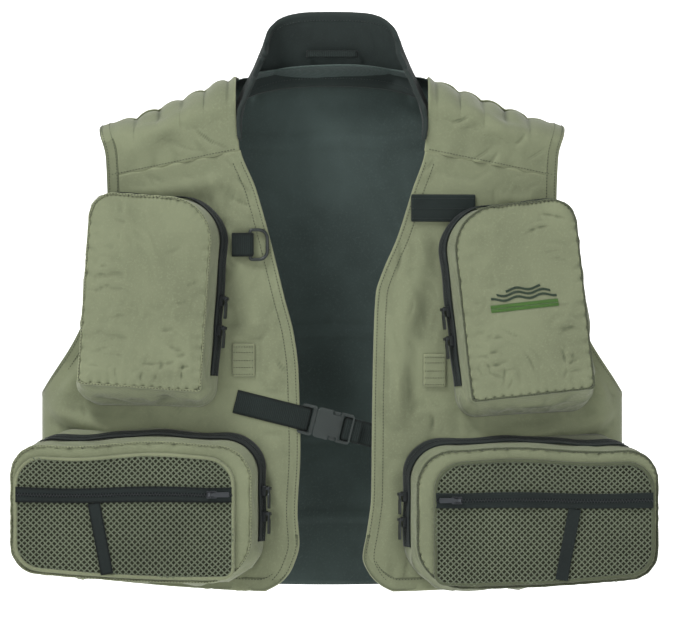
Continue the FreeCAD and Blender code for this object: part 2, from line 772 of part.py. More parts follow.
def d_ring_tab():
    half = webbing_width / 2
    low_z, high_z = ring_z - half, ring_z + half
    flat = surface_patch([(ring_x - tab_length, low_z, 0), (ring_x - tab_length, high_z, 0),
                          (ring_x, high_z, 0), (ring_x, low_z, 0)], webbing_thick)
    inner = ring_wire + fold_clearance
    centre = Vector(ring_x, ring_centre_y(), low_z)
    fold = Part.makeCylinder(inner + webbing_thick, webbing_width, centre)
    hole = Part.makeCylinder(inner, webbing_width + 2, centre - Vector(0, 0, 1))
    return flat.fuse(fold).cut(hole).removeSplitter()


def utility_tab(side):
    out, up = tab_place[side]
    width, height = tab_size
    corners = [(out - width / 2, up - height / 2, 2.0), (out + width / 2, up - height / 2, 2.0),
               (out + width / 2, up + height / 2, 2.0), (out - width / 2, up + height / 2, 2.0)]
    return surface_patch(mirrored(corners, side), tab_thick)


def accessory_strip(pocket):
    """The strip ends where the chest pocket begins."""
    inner, from_side, up = strip_place
    outer = half_width - from_side
    half = strip_height / 2
    corners = [(inner, up - half, 1.0), (outer, up - half, 1.0), (outer, up + half, 1.0),
               (inner, up + half, 1.0)]
    return surface_patch(corners, tab_thick).cut(pocket.block(1.0, 0, pocket.face_y))


def emblem(pocket):
    u, w = emblem_offset
    half_u, half_w = emblem_size[0] / 2, emblem_size[1] / 2
    corners = [(u + half_u, w + half_w, 3.0), (u + half_u, w - half_w, 3.0),
               (u - half_u, w - half_w, 3.0), (u - half_u, w + half_w, 3.0)]
    return on_face(pocket, corners, seam_gap, emblem_thick)


# ---- Everything together ----

def pocket_pieces():
    pieces = {}
    for side, tag in ((-1, "r"), (1, "l")):
        chest, cargo = chest_pocket(side), cargo_pocket(side)
        pieces["chest_pocket_" + tag] = chest.body()
        pieces["chest_zip_" + tag] = chest_zip(chest)
        pieces["cargo_pocket_" + tag] = cargo.body()
        pieces["cargo_zip_" + tag] = cargo_zip(cargo)
        pieces["cargo_mesh_" + tag] = cargo_mesh(cargo)
        pieces["mesh_zip_" + tag] = mesh_zip(cargo)
        pieces["divider_tape_" + tag] = divider_tape(cargo)
    return pieces


def small_pieces():
    pieces = {"collar": collar(), "hanger_loop": hanger_loop(), "d_ring": d_ring(),
              "d_ring_tab": d_ring_tab(), "utility_tab_r": utility_tab(-1),
              "utility_tab_l": utility_tab(1), "accessory_strip": accessory_strip(chest_pocket(1)),
              "emblem": emblem(chest_pocket(1)), "strap_right": strap_right(),
              "strap_left": strap_left(), "buckle_male": buckle_male(),
              "buckle_arm_upper": buckle_arm(1), "buckle_arm_lower": buckle_arm(-1),
              "buckle_female": buckle_female()}
    return pieces


def main():
    os.makedirs("parts", exist_ok=True)
    pieces = {}
    for group in (body_pieces, pocket_pieces, zip_hardware, small_pieces):
        pieces.update(group())
    for name, shape in pieces.items():
        moved = shape.copy()
        moved.translate(Vector(0, -loop_y, 0))
        moved.exportStep("parts/" + name + ".step")
        limits = moved.BoundBox
        print(f"{name}: solids {len(moved.Solids)} valid {moved.isValid()} volume {moved.Volume:.0f} "
              f"x {limits.XMin:.1f}..{limits.XMax:.1f} y {limits.YMin:.1f}..{limits.YMax:.1f} "
              f"z {limits.ZMin:.1f}..{limits.ZMax:.1f}")


main()
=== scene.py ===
import math

import bmesh
import bpy
import numpy as np
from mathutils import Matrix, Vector
from mathutils.bvhtree import BVHTree


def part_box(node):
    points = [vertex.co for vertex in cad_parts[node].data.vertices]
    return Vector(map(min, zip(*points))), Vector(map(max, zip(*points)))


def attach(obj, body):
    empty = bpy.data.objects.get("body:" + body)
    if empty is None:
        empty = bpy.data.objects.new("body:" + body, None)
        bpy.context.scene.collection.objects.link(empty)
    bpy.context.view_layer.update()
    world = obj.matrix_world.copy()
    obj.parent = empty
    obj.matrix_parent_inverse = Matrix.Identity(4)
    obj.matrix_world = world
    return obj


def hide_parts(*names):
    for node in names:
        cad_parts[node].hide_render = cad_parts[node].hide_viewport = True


# A fishing vest around its CAD frame. Lengths are millimetres and are turned into metres when a mesh is
# made. Shapes are drawn about the middle of the torso, as in the CAD model: +X is the wearer's left,
# the front faces -Y, +Z is up. "side" is +1 for the wearer's left and -1 for the wearer's right.

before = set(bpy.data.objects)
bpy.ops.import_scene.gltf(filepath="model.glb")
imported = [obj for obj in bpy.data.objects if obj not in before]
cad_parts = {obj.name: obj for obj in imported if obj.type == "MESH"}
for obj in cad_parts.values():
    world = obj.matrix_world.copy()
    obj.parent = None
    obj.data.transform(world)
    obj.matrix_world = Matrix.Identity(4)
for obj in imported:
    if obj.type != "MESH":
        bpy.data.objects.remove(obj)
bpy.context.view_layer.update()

MM = 0.001


def cad_box(node):
    """A CAD node's lowest and highest corners in millimetres."""
    low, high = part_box(node)
    return np.array(low) / MM, np.array(high) / MM


# ---- Torso sizes, read from the frame where it holds them ----
HALF_DEPTH = 60.0
SIDE_RADIUS = 35.0
HALF_WIDTH = cad_box("back_panel")[1][0]
MIDDLE = np.array([0.0, cad_box("back_panel")[1][1] - HALF_DEPTH, 0.0])
CLOTH = 2.0
LINING = 1.4
BINDING = 12.0
RIDGE_NECK, RIDGE_NECK_X = -8.0, 62.0
TIP_X, SHOULDER_DROP = 245.0, 71.0
ARCH_DEPTH_NECK, ARCH_DEPTH_TIP, ARCH_RISE = 64.0, 46.0, 0.75
HEM_MID, HEM_SIDE = -571.0, -551.0

CENTRE_BACK = ((HALF_WIDTH - SIDE_RADIUS) ** 2 - (HALF_DEPTH - SIDE_RADIUS) ** 2) / (
    2 * (HALF_DEPTH - SIDE_RADIUS))
FRONT_RADIUS = CENTRE_BACK + HALF_DEPTH
SPREAD = math.atan2(HALF_WIDTH - SIDE_RADIUS, CENTRE_BACK)
GIRTH_JOIN = FRONT_RADIUS * SPREAD
GIRTH_SIDE = GIRTH_JOIN + SIDE_RADIUS * (math.pi / 2 - SPREAD)

# ---- Front opening and armholes: (height, distance from the centre), top to bottom ----
FRONT_EDGE = {
    -1: [(-60, 98), (-98, 98), (-150, 80), (-200, 66), (-265, 50), (-300, 41), (-340, 36), (-424, 34),
         (-488, 37), (-520, 35), (-545, 42), (-560, 53), (-572, 74)],
    1: [(-60, 100), (-104, 99), (-150, 85), (-200, 69), (-235, 54), (-257, 47), (-290, 45), (-378, 43),
        (-470, 42), (-510, 37), (-535, 33), (-552, 40), (-564, 52), (-572, 68)],
}
ARMHOLE = [(-60, 247), (-82, 246), (-112, 238), (-165, 236), (-205, 240), (-245, 248), (-285, 261),
           (-310, 273), (-332, 287), (-352, 301), (-364, 309)]
ARMPIT_Z = -364.0
YOKE_SEAM_Z, YOKE_SEAM_X, YOKE_SEAM_SLOPE = -108.0, 99.0, 0.2

# ---- Pockets: local (inward, upward, radius) corners as in the CAD model ----
CHEST_FACE_Y, CHEST_W, CHEST_H, CHEST_GUSSET = -92.0, 128.0, 200.0, 20.0
CHEST_TILT = {-1: 4.0, 1: 6.4}
CARGO_FACE_Y, CARGO_W, CARGO_H, CARGO_GUSSET = -95.0, 250.0, 142.0, 18.0
POCKET_BASE_Y = -48.0
POCKET_CLOTH = 1.5


# ---- Noise and small mathematics ----

def lattice_noise(u, v, seed):
    """Smooth noise in -1..1 over a plane, from a seeded lattice of values."""
    table = np.random.RandomState(seed).uniform(-1, 1, (64, 64))
    iu, iv = np.floor(u).astype(int), np.floor(v).astype(int)
    fu, fv = u - iu, v - iv
    fu, fv = fu * fu * (3 - 2 * fu), fv * fv * (3 - 2 * fv)
    a, b = table[iu % 64, iv % 64], table[(iu + 1) % 64, iv % 64]
    c, d = table[iu % 64, (iv + 1) % 64], table[(iu + 1) % 64, (iv + 1) % 64]
    return (a * (1 - fu) + b * fu) * (1 - fv) + (c * (1 - fu) + d * fu) * fv


def crumple(u, v, size, seed):
    """Soft creases: bent noise with sharp ridges where cloth turns, in about -1..1."""
    p = u / size + 0.5 * lattice_noise(u / size * 0.7 + 5, v / size * 0.7 + 2, seed + 3)
    q = v / size + 0.5 * lattice_noise(u / size * 0.7 + 1, v / size * 0.7 + 9, seed + 4)
    broad = lattice_noise(p, q, seed)
    ridge = 1 - 2 * np.abs(lattice_noise(p * 1.4 + 11, q * 1.4, seed + 2)) ** 0.8
    small = 1 - 2 * np.abs(lattice_noise(p * 3.1 + 3, q * 2.7 + 7, seed + 1)) ** 0.8
    return 0.45 * broad + 0.38 * ridge + 0.14 * small


def unit(vectors):
    """Vectors brought to length one."""
    return vectors / (np.linalg.norm(vectors, axis=-1, keepdims=True) + 1e-12)


def eased(path, times):
    """A path with its inner points averaged with their neighbours."""
    for _ in range(times):
        path[1:-1] = (path[:-2] + 2 * path[1:-1] + path[2:]) / 4
    return path


def path_length(path):
    return np.linalg.norm(np.diff(path, axis=0), axis=1).sum()


def inset_path(points, normals, distance, edge):
    """A path on a grid at a distance from its edge: points with normals beside them."""
    grid = np.concatenate([points, normals], axis=2)
    if edge in ("top", "bottom"):
        grid = grid.transpose(1, 0, 2)
    if edge in ("top", "last"):
        grid = grid[:, ::-1]
    path = []
    for line in grid:
        steps = np.linalg.norm(np.diff(line[:, :3], axis=0), axis=1)
        reach = np.concatenate([[0], np.cumsum(steps)])
        path.append([np.interp(distance, reach, line[:, k]) for k in range(6)])
    return np.array(path)


def fold(u, v, start, end, width, height):
    """A rounded fold that fades at both ends of a line."""
    start, end = np.array(start, float), np.array(end, float)
    along = end - start
    length = np.linalg.norm(along)
    along /= length
    s = (u - start[0]) * along[0] + (v - start[1]) * along[1]
    d = -(u - start[0]) * along[1] + (v - start[1]) * along[0]
    bend = d - 0.06 * length * np.sin(np.pi * np.clip(s / length, 0, 1))
    fade = np.clip(np.minimum(s, length - s) / (0.35 * length) + 0.35, 0, 1)
    fade = fade * fade * (3 - 2 * fade)
    grow = width * (1 + 0.6 * np.clip(s / length, 0, 1))
    return height * fade * (np.exp(-(bend / grow) ** 2) - 0.55 * np.exp(-((bend - 1.5 * grow) / grow) ** 2))


def crease(u, v, start, end, width, height):
    """A sharp crease that fades at both ends, with a soft swell on one side."""
    start, end = np.array(start, float), np.array(end, float)
    along = end - start
    length = np.linalg.norm(along)
    along /= length
    s = (u - start[0]) * along[0] + (v - start[1]) * along[1]
    d = -(u - start[0]) * along[1] + (v - start[1]) * along[0] - 0.08 * length * np.sin(3 * s / length)
    fade = np.clip(np.minimum(s, length - s) / (0.4 * length), 0, 1)
    fade = fade * fade * (3 - 2 * fade)
    return height * fade * (0.9 * np.exp(-((d - 1.6 * width) / (1.5 * width)) ** 2)
                            - np.exp(-np.abs(d) / (0.7 * width)))


def random_creases(seed, count, area, angle, spread, length=(22.0, 60.0), height=(0.5, 1.5)):
    """Start, end, width and height of creases strewn over an area round one direction in degrees."""
    pick = np.random.RandomState(seed)
    x0, x1, z0, z1 = area
    made = []
    for _ in range(count):
        start = np.array([pick.uniform(x0, x1), pick.uniform(z0, z1)])
        turn = math.radians(angle + pick.uniform(-spread, spread))
        end = start + np.array([math.cos(turn), math.sin(turn)]) * pick.uniform(*length)
        made.append((start, end, pick.uniform(1.8, 4.0), pick.uniform(*height)))
    return made


def through(points, at):
    """A smooth curve's value: monotone cubic through (position, value) points."""
    points = sorted(points)
    x = np.array([p[0] for p in points], float)
    y = np.array([p[1] for p in points], float)
    h, d = np.diff(x), np.diff(y) / np.diff(x)
    m = np.zeros(len(x))
    m[1:-1] = np.where(d[:-1] * d[1:] > 0, 2 * d[:-1] * d[1:] / (d[:-1] + d[1:] + 1e-12), 0)
    m[0], m[-1] = d[0], d[-1]
    at = np.clip(at, x[0], x[-1])
    i = np.clip(np.searchsorted(x, at) - 1, 0, len(x) - 2)
    t = (at - x[i]) / h[i]
    return ((2 * t ** 3 - 3 * t ** 2 + 1) * y[i] + (t ** 3 - 2 * t ** 2 + t) * h[i] * m[i]
            + (3 * t ** 2 - 2 * t ** 3) * y[i + 1] + (t ** 3 - t ** 2) * h[i] * m[i + 1])


def smooth_path(points, count):
    """Evenly spaced points on a Catmull-Rom curve through the given points."""
    p = np.array(points, float)
    p = np.vstack([2 * p[0] - p[1], p, 2 * p[-1] - p[-2]])
    dense = []
    for i in range(1, len(p) - 2):
        t = np.linspace(0, 1, 24, endpoint=False)[:, None]
        dense.append(0.5 * (2 * p[i] + (p[i + 1] - p[i - 1]) * t
                            + (2 * p[i - 1] - 5 * p[i] + 4 * p[i + 1] - p[i + 2]) * t ** 2
                            + (3 * p[i] - p[i - 1] - 3 * p[i + 1] + p[i + 2]) * t ** 3))
    dense.append(p[-2][None])
    return resampled(np.vstack(dense), count)


def resampled(path, count):
    steps = np.linalg.norm(np.diff(path, axis=0), axis=1)
    reach = np.concatenate([[0], np.cumsum(steps)])
    at = np.linspace(0, reach[-1], count)
    return np.stack([np.interp(at, reach, path[:, k]) for k in range(path.shape[1])], axis=1)


def grid_normals(points):
    """Unit normals of a grid of points; which side they face depends on the grid's order."""
    return unit(np.cross(np.gradient(points, axis=1), np.gradient(points, axis=0)))


# ---- Meshes ----

def make_object(name, points, faces, material):
    """A smooth mesh object on the vest, from points in millimetres about the torso's middle."""
    mesh = bpy.data.meshes.new(name)
    world = (np.asarray(points, float).reshape(-1, 3) + MIDDLE) * MM
    mesh.from_pydata(world.tolist(), [], [list(f) for f in faces])
    mesh.validate()
    mesh.polygons.foreach_set("use_smooth", [True] * len(mesh.polygons))
    obj = bpy.data.objects.new(name, mesh)
    bpy.context.scene.collection.objects.link(obj)
    obj.data.materials.append(material)
    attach(obj, "vest")
    return obj


def fix_normals(mesh):
    """Turns every face of a closed mesh outwards."""
    work = bmesh.new()
    work.from_mesh(mesh)
    bmesh.ops.recalc_face_normals(work, faces=work.faces)
    work.to_mesh(mesh)
    work.free()


def grid_faces(rows, cols, offset=0, flip=False, wrap=False):
    r, c = np.meshgrid(np.arange(rows - 1), np.arange(cols if wrap else cols - 1), indexing="ij")
    c2 = (c + 1) % cols
    quads = np.stack([r * cols + c, r * cols + c2, (r + 1) * cols + c2, (r + 1) * cols + c], axis=-1)
    quads = quads.reshape(-1, 4) + offset
    return quads[:, ::-1] if flip else quads


def sheet_mesh(points, thickness, outward, rounding=0.45):
    """Closed thin cloth from its outer face: two faces joined by a rounded rim."""
    rows, cols, _ = points.shape
    normal = grid_normals(points) * outward
    inner = points - normal * thickness
    count = rows * cols
    rim = ([(0, c) for c in range(cols)] + [(r, cols - 1) for r in range(1, rows)]
           + [(rows - 1, c) for c in range(cols - 2, -1, -1)] + [(r, 0) for r in range(rows - 2, 0, -1)])
    index = np.array([r * cols + c for r, c in rim])
    flat, flat_in = points.reshape(-1, 3), inner.reshape(-1, 3)
    middle = (flat[index] + flat_in[index]) / 2
    loop = flat[index]
    tangent = np.roll(loop, -1, axis=0) - np.roll(loop, 1, axis=0)
    aside = unit(np.cross(tangent, normal.reshape(-1, 3)[index]))
    toward = points[rows // 2, cols // 2] - loop
    aside *= -np.sign(np.sum(aside * toward, axis=1, keepdims=True))
    middle = middle + aside * thickness * rounding
    vertices = np.vstack([flat, flat_in, middle])
    first = grid_faces(rows, cols, 0, flip=outward < 0)
    second = grid_faces(rows, cols, count, flip=outward > 0)
    faces = [tuple(f) for f in first] + [tuple(f) for f in second]
    size = len(index)
    for k in range(size):
        a, b, m, n = index[k], index[(k + 1) % size], 2 * count + k, 2 * count + (k + 1) % size
        near = (b, a, m, n) if outward > 0 else (a, b, n, m)
        past = (n, m, a + count, b + count) if outward > 0 else (m, n, b + count, a + count)
        faces += [near, past]
    return vertices, faces


def cloth_piece(name, points, material, thickness=CLOTH, outward=1.0):
    return make_object(name, *sheet_mesh(points, thickness, outward), material)


def merged(parts):
    """One point list and face list from several."""
    points, faces, offset = [], [], 0
    for p, f in parts:
        p = np.asarray(p).reshape(-1, 3)
        points.append(p)
        faces += [tuple(int(i) + offset for i in face) for face in f]
        offset += len(p)
    return np.vstack(points), faces


def capsule(a, b, radius, up):
    """A short thread from a to b, pointed at its ends."""
    along = unit(b - a)
    side = unit(np.cross(along, up))
    top = np.cross(side, along)
    ring = [(math.cos(t), math.sin(t)) for t in np.arange(6) * math.pi / 3]
    points = [a]
    for share, size in ((0.18, 0.85), (0.82, 0.85)):
        centre = a + (b - a) * share
        points += [centre + radius * size * (c * side + s * top) for c, s in ring]
    points.append(b)
    faces = [(0, 1 + (k + 1) % 6, 1 + k) for k in range(6)]
    faces += [(1 + k, 1 + (k + 1) % 6, 7 + (k + 1) % 6, 7 + k) for k in range(6)]
    faces += [(13, 7 + k, 7 + (k + 1) % 6) for k in range(6)]
    return points, faces


def stitch_row(path, normals, pitch=3.2, length=2.3, radius=0.42, sink=0.1):
    """Stitches along a path that lies on cloth, each slightly sunk at its ends."""
    count = max(int(path_length(path) / pitch), 1)
    dense = resampled(np.hstack([path, normals]), count * 4 + 1)
    parts = []
    for k in range(count):
        a, b = dense[4 * k], dense[4 * k + 4]
        start = a[:3] + (b[:3] - a[:3]) * 0.1
        end = a[:3] + (b[:3] - a[:3]) * (0.1 + length / pitch * 0.8)
        up = (a[3:] + b[3:]) / 2
        lift = up * (radius - sink)
        parts.append(capsule(start + lift, end + lift, radius, up))
    return merged(parts)


def stitches(name, rows, material):
    make_object(name, *merged(rows), material)


# ---- Materials ----

def node_tree(name):
    material = bpy.data.materials.new(name)
    material.use_nodes = True
    tree = material.node_tree
    return material, tree, tree.nodes["Principled BSDF"]


def link(tree, output, target):
    tree.links.new(output, target)


def noise_node(tree, coords, scale, detail=3.0, rough=0.55):
    node = tree.nodes.new("ShaderNodeTexNoise")
    node.inputs["Scale"].default_value = scale
    node.inputs["Detail"].default_value = detail
    node.inputs["Roughness"].default_value = rough
    link(tree, coords, node.inputs["Vector"])
    return node


def mixed(tree, kind, factor, a, b):
    """A colour mix; a and b are sockets or colours, factor a socket or number."""
    node = tree.nodes.new("ShaderNodeMix")
    node.data_type = "RGBA"
    node.blend_type = kind
    for socket, value in ((node.inputs[0], factor), (node.inputs[6], a), (node.inputs[7], b)):
        if isinstance(value, (int, float)):
            socket.default_value = value
        elif isinstance(value, tuple):
            socket.default_value = value + (1.0,)
        else:
            link(tree, value, socket)
    return node.outputs[2]


def ramp(tree, factor, low, high):
    """Maps low..high to 0..1."""
    node = tree.nodes.new("ShaderNodeMapRange")
    node.inputs["From Min"].default_value = low
    node.inputs["From Max"].default_value = high
    link(tree, factor, node.inputs["Value"])
    return node.outputs["Result"]


def wave_node(tree, coords, direction, pitch, distortion=0.6):
    """Parallel threads across a direction, at a pitch in millimetres."""
    mapping = tree.nodes.new("ShaderNodeVectorMath")
    mapping.operation = "DOT_PRODUCT"
    link(tree, coords, mapping.inputs[0])
    mapping.inputs[1].default_value = direction
    combine = tree.nodes.new("ShaderNodeCombineXYZ")
    link(tree, mapping.outputs["Value"], combine.inputs["X"])
    wave = tree.nodes.new("ShaderNodeTexWave")
    wave.wave_type = "BANDS"
    wave.bands_direction = "X"
    wave.inputs["Scale"].default_value = 0.314 / (pitch * MM)
    wave.inputs["Distortion"].default_value = distortion
    wave.inputs["Detail"].default_value = 1.0
    link(tree, combine.outputs["Vector"], wave.inputs["Vector"])
    return wave.outputs["Fac"]


def bump(tree, shader, height, strength, distance):
    node = tree.nodes.new("ShaderNodeBump")
    node.inputs["Strength"].default_value = strength
    node.inputs["Distance"].default_value = distance
    link(tree, height, node.inputs["Height"])
    link(tree, node.outputs["Normal"], shader.inputs["Normal"])


def fabric(name, colour, pitch=0.75, mottle=0.10, weave=0.35, rough=0.86, sheen=0.25, strength=0.35):
    """Woven cloth: crossing threads, uneven dye, a little lint, painted shade in creases and painted
    highlight on raised folds.
    """
    material, tree, shader = node_tree(name)
    coords = tree.nodes.new("ShaderNodeTexCoord").outputs["Object"]
    warp = wave_node(tree, coords, (0.92, 0.35, 0.10), pitch)
    weft = wave_node(tree, coords, (-0.10, 0.35, 0.92), pitch)
    cloth = mixed(tree, "MULTIPLY", 1.0, warp, weft)
    broad = noise_node(tree, coords, 14.0, 3.0).outputs["Fac"]
    fine = noise_node(tree, coords, 420.0, 2.0, 0.7).outputs["Fac"]
    dark = tuple(c * (1 - mottle * 1.6) for c in colour)
    light = tuple(min(c * (1 + mottle), 1) for c in colour)
    tone = mixed(tree, "MIX", ramp(tree, broad, 0.3, 0.7), dark, light)
    lint = tuple(min(c * (1 + 2.2 * mottle), 1) for c in colour)
    tone = mixed(tree, "MIX", ramp(tree, fine, 0.52, 0.85), tone, lint)
    deep = tuple(c * 0.55 for c in colour)
    threads = mixed(tree, "MIX", cloth, deep, tone)
    woven = mixed(tree, "MIX", weave, tone, threads)
    bend = tree.nodes.new("ShaderNodeNewGeometry").outputs["Pointiness"]
    # Painted shade: concave creases (low pointiness) darkened to about half.
    shade = mixed(tree, "MIX", ramp(tree, bend, 0.50, 0.455), (1.0, 1.0, 1.0), (0.45, 0.47, 0.45))
    woven = mixed(tree, "MULTIPLY", 1.0, woven, shade)
    # Painted highlight on raised folds and edges (high pointiness), partly also rubbed wear along edges.
    ridge_highlight_and_rub = mixed(tree, "MIX", ramp(tree, bend, 0.52, 0.60), (1.0, 1.0, 1.0), (1.22, 1.20, 1.16))
    link(tree, mixed(tree, "MULTIPLY", 1.0, woven, ridge_highlight_and_rub), shader.inputs["Base Color"])
    gloss = tree.nodes.new("ShaderNodeMapRange")
    gloss.inputs["To Min"].default_value = rough - 0.08
    gloss.inputs["To Max"].default_value = min(rough + 0.08, 1.0)
    link(tree, fine, gloss.inputs["Value"])
    link(tree, gloss.outputs["Result"], shader.inputs["Roughness"])
    shader.inputs["Specular IOR Level"].default_value = 0.25
    shader.inputs["Sheen Weight"].default_value = sheen
    shader.inputs["Sheen Roughness"].default_value = 0.45
    height = mixed(tree, "ADD", 0.35, cloth, fine)
    bump(tree, shader, height, strength, 0.0004)
    return material


def plastic(name, colour, rough=0.42, metallic=0.0, grain=900.0, strength=0.12, coat=0.0):
    """Moulded plastic or painted metal: fine grain, slightly uneven gloss, dusty edges."""
    material, tree, shader = node_tree(name)
    coords = tree.nodes.new("ShaderNodeTexCoord").outputs["Object"]
    fine = noise_node(tree, coords, grain, 4.0).outputs["Fac"]
    broad = noise_node(tree, coords, 90.0, 3.0).outputs["Fac"]
    geometry = tree.nodes.new("ShaderNodeNewGeometry")
    edge = ramp(tree, geometry.outputs["Pointiness"], 0.52, 0.62)
    dark = tuple(c * 0.8 for c in colour)
    worn = tuple(min(c * 1.35 + 0.004, 1) for c in colour)
    tone = mixed(tree, "MIX", ramp(tree, broad, 0.3, 0.7), dark, colour)
    tone = mixed(tree, "MIX", edge, tone, worn)
    link(tree, tone, shader.inputs["Base Color"])
    node = tree.nodes.new("ShaderNodeMapRange")
    node.inputs["To Min"].default_value = rough - 0.08
    node.inputs["To Max"].default_value = rough + 0.10
    link(tree, broad, node.inputs["Value"])
    link(tree, node.outputs["Result"], shader.inputs["Roughness"])
    shader.inputs["Metallic"].default_value = metallic
    shader.inputs["Coat Weight"].default_value = coat
    bump(tree, shader, fine, strength, 0.0002)
    return material


OLIVE = (0.232, 0.258, 0.158)
SLATE = (0.068, 0.096, 0.090)
TAPE = (0.016, 0.023, 0.022)
cloth_olive = fabric("olive_cloth", OLIVE)
# The olive cloth darkened for the facing inside the front: painted shade.
cloth_olive_shaded = fabric("olive_cloth_painted_shade", tuple(c * 0.62 for c in OLIVE))
cloth_binding = fabric("olive_binding", tuple(c * 0.93 for c in OLIVE), pitch=0.9)
cloth_lining = fabric("slate_lining", SLATE, pitch=0.6, mottle=0.16, sheen=0.12)
cloth_tape = fabric("zip_tape_weave", TAPE, pitch=1.1, mottle=0.2, weave=0.6, sheen=0.1)
cloth_webbing = fabric("webbing_weave", (0.018, 0.027, 0.025), pitch=1.1, mottle=0.25, weave=0.6,
                       sheen=0.1, strength=0.5)
thread_olive = fabric("olive_thread", tuple(c * 0.34 for c in OLIVE), pitch=0.4)
thread_slate = fabric("slate_thread", (0.055, 0.075, 0.072), pitch=0.4)
thread_green = fabric("emblem_green", (0.16, 0.36, 0.07), pitch=0.35, sheen=0.4)
thread_dark = fabric("emblem_dark", (0.07, 0.12, 0.07), pitch=0.35, sheen=0.4)
# A darkened olive for the sheet behind the net: painted shade of the pocket's inside.
cloth_net_shade = fabric("net_lining_cloth", tuple(c * 0.24 for c in OLIVE), pitch=0.6)
net_strand = fabric("net_strand", (0.34, 0.39, 0.26), pitch=0.5, sheen=0.4)
coil_plastic = plastic("zip_coil", (0.020, 0.026, 0.028), rough=0.38)
metal_dark = plastic("zip_metal_dark", (0.050, 0.055, 0.060), rough=0.33, metallic=0.75, strength=0.05)
buckle_plastic = plastic("buckle_plastic", (0.020, 0.027, 0.025), rough=0.38)
collar_cloth = fabric("collar_cloth", tuple(c * 0.36 for c in SLATE), pitch=0.6, mottle=0.16, sheen=0.1)


# ---- The torso's surface ----

def section(girth, inset=0.0):
    """x and y on the front half of the torso's oval, at a signed girth from the centre front."""
    s = np.abs(girth)
    angle = np.minimum(s, GIRTH_JOIN) / FRONT_RADIUS
    x = (FRONT_RADIUS - inset) * np.sin(angle)
    y = CENTRE_BACK - (FRONT_RADIUS - inset) * np.cos(angle)
    turn = SPREAD + (s - GIRTH_JOIN) / SIDE_RADIUS
    x = np.where(s > GIRTH_JOIN, HALF_WIDTH - SIDE_RADIUS + (SIDE_RADIUS - inset) * np.sin(turn), x)
    y = np.where(s > GIRTH_JOIN, -(SIDE_RADIUS - inset) * np.cos(turn), y)
    return np.sign(girth) * x, y


def girth_at(x):
    """Girth from the centre front at a distance from the centre."""
    x = np.abs(x)
    reach = HALF_WIDTH - SIDE_RADIUS
    front = FRONT_RADIUS * np.arcsin(np.clip(x / FRONT_RADIUS, 0, 1))
    turn = np.arcsin(np.clip((x - reach) / SIDE_RADIUS, 0, 1))
    limit = FRONT_RADIUS * math.sin(SPREAD)
    past = GIRTH_JOIN + SIDE_RADIUS * np.maximum(turn - SPREAD, 0)
    return np.where(x > limit, past, front)


def arch(x):
    """Half depth, rise and spring height of the shoulder arch."""
    out = np.abs(x) - RIDGE_NECK_X
    depth = ARCH_DEPTH_NECK - (ARCH_DEPTH_NECK - ARCH_DEPTH_TIP) / (TIP_X - RIDGE_NECK_X) * out
    rise = ARCH_RISE * depth
    ridge = RIDGE_NECK - SHOULDER_DROP / (TIP_X - RIDGE_NECK_X) * np.maximum(out, 0)
    slack = np.clip(out / 30, 0, 1) * np.clip((TIP_X - 8 - np.abs(x)) / 22, 0, 1)
    ripple = 1 - np.abs(np.sin((np.abs(x) - 135) * math.pi / 24.5)) ** 0.8
    return depth, rise, ridge - rise - slack * (2.0 + 4.5 * ripple)


def soft_min(a, b, blend=5.0):
    h = np.clip(0.5 + 0.5 * (b - a) / blend, 0, 1)
    return b * (1 - h) + a * h - blend * h * (1 - h)


def column(girth, foot_z, share, inset, back=False):
    """A point up a column of the front or back: straight from its foot, then over the shoulder arch."""
    x, y = section(girth, inset)
    depth, rise, spring = arch(x)
    depth, rise = depth - inset, rise - inset
    straight = np.maximum(spring - foot_z, 0)
    curve = (depth + rise) / 2 * math.pi / 2
    reach = share * (straight + curve)
    angle = np.clip((reach - straight) / curve, 0, 1) * math.pi / 2
    z = np.where(reach < straight, foot_z + reach, spring + rise * np.sin(angle))
    flat_y = np.where(reach < straight, 999.0, depth * np.cos(angle))
    y = soft_min(-y, flat_y)
    return np.stack([x, y if back else -y, z], axis=-1)


def hem_z(x):
    return HEM_MID + (HEM_SIDE - HEM_MID) * (np.abs(x) / HALF_WIDTH) ** 2


def seam_z(x):
    return YOKE_SEAM_Z - YOKE_SEAM_SLOPE * (np.abs(x) - YOKE_SEAM_X)


def armhole_girth(z):
    """Girth of the armhole's edge at a height, or of the side seam below it."""
    edge = girth_at(through([(a, b) for a, b in ARMHOLE], z))
    return np.where(z < ARMPIT_Z, GIRTH_SIDE, edge)


def front_girth(side, z):
    return girth_at(through(FRONT_EDGE[side], z))


def front_point(side, girth, z, inset=0.0):
    """A point on the front at a girth and height below the shoulder arch."""
    x, y = section(girth, inset)
    depth, rise, spring = arch(x)
    limit = (depth - inset) * np.sqrt(np.clip(1 - (np.maximum(z - spring, 0) / rise) ** 2, 0, 1))
    return np.stack([side * x, -soft_min(-y, limit), z + 0 * x], axis=-1)


def cloth_relief(u, v, folds, seed, depth=2.8):
    """Height of the cloth over its smooth surface."""
    relief = depth * 1.25 * crumple(u, v * 0.55, 62.0, seed)
    relief = relief + 0.3 * depth * crumple(u + 40, v, 30.0, seed + 5)
    for start, end, width, height in folds:
        relief = relief + 1.5 * fold(u, v, start, end, width, height)
    sharp = random_creases(seed + 60, 26, (60, 300, -560, -120), 250, 28)
    sharp += random_creases(seed + 61, 14, (70, 240, -175, -60), 215, 22)
    for start, end, width, height in sharp:
        relief = relief + crease(u, v, start, end, width, height)
    return relief


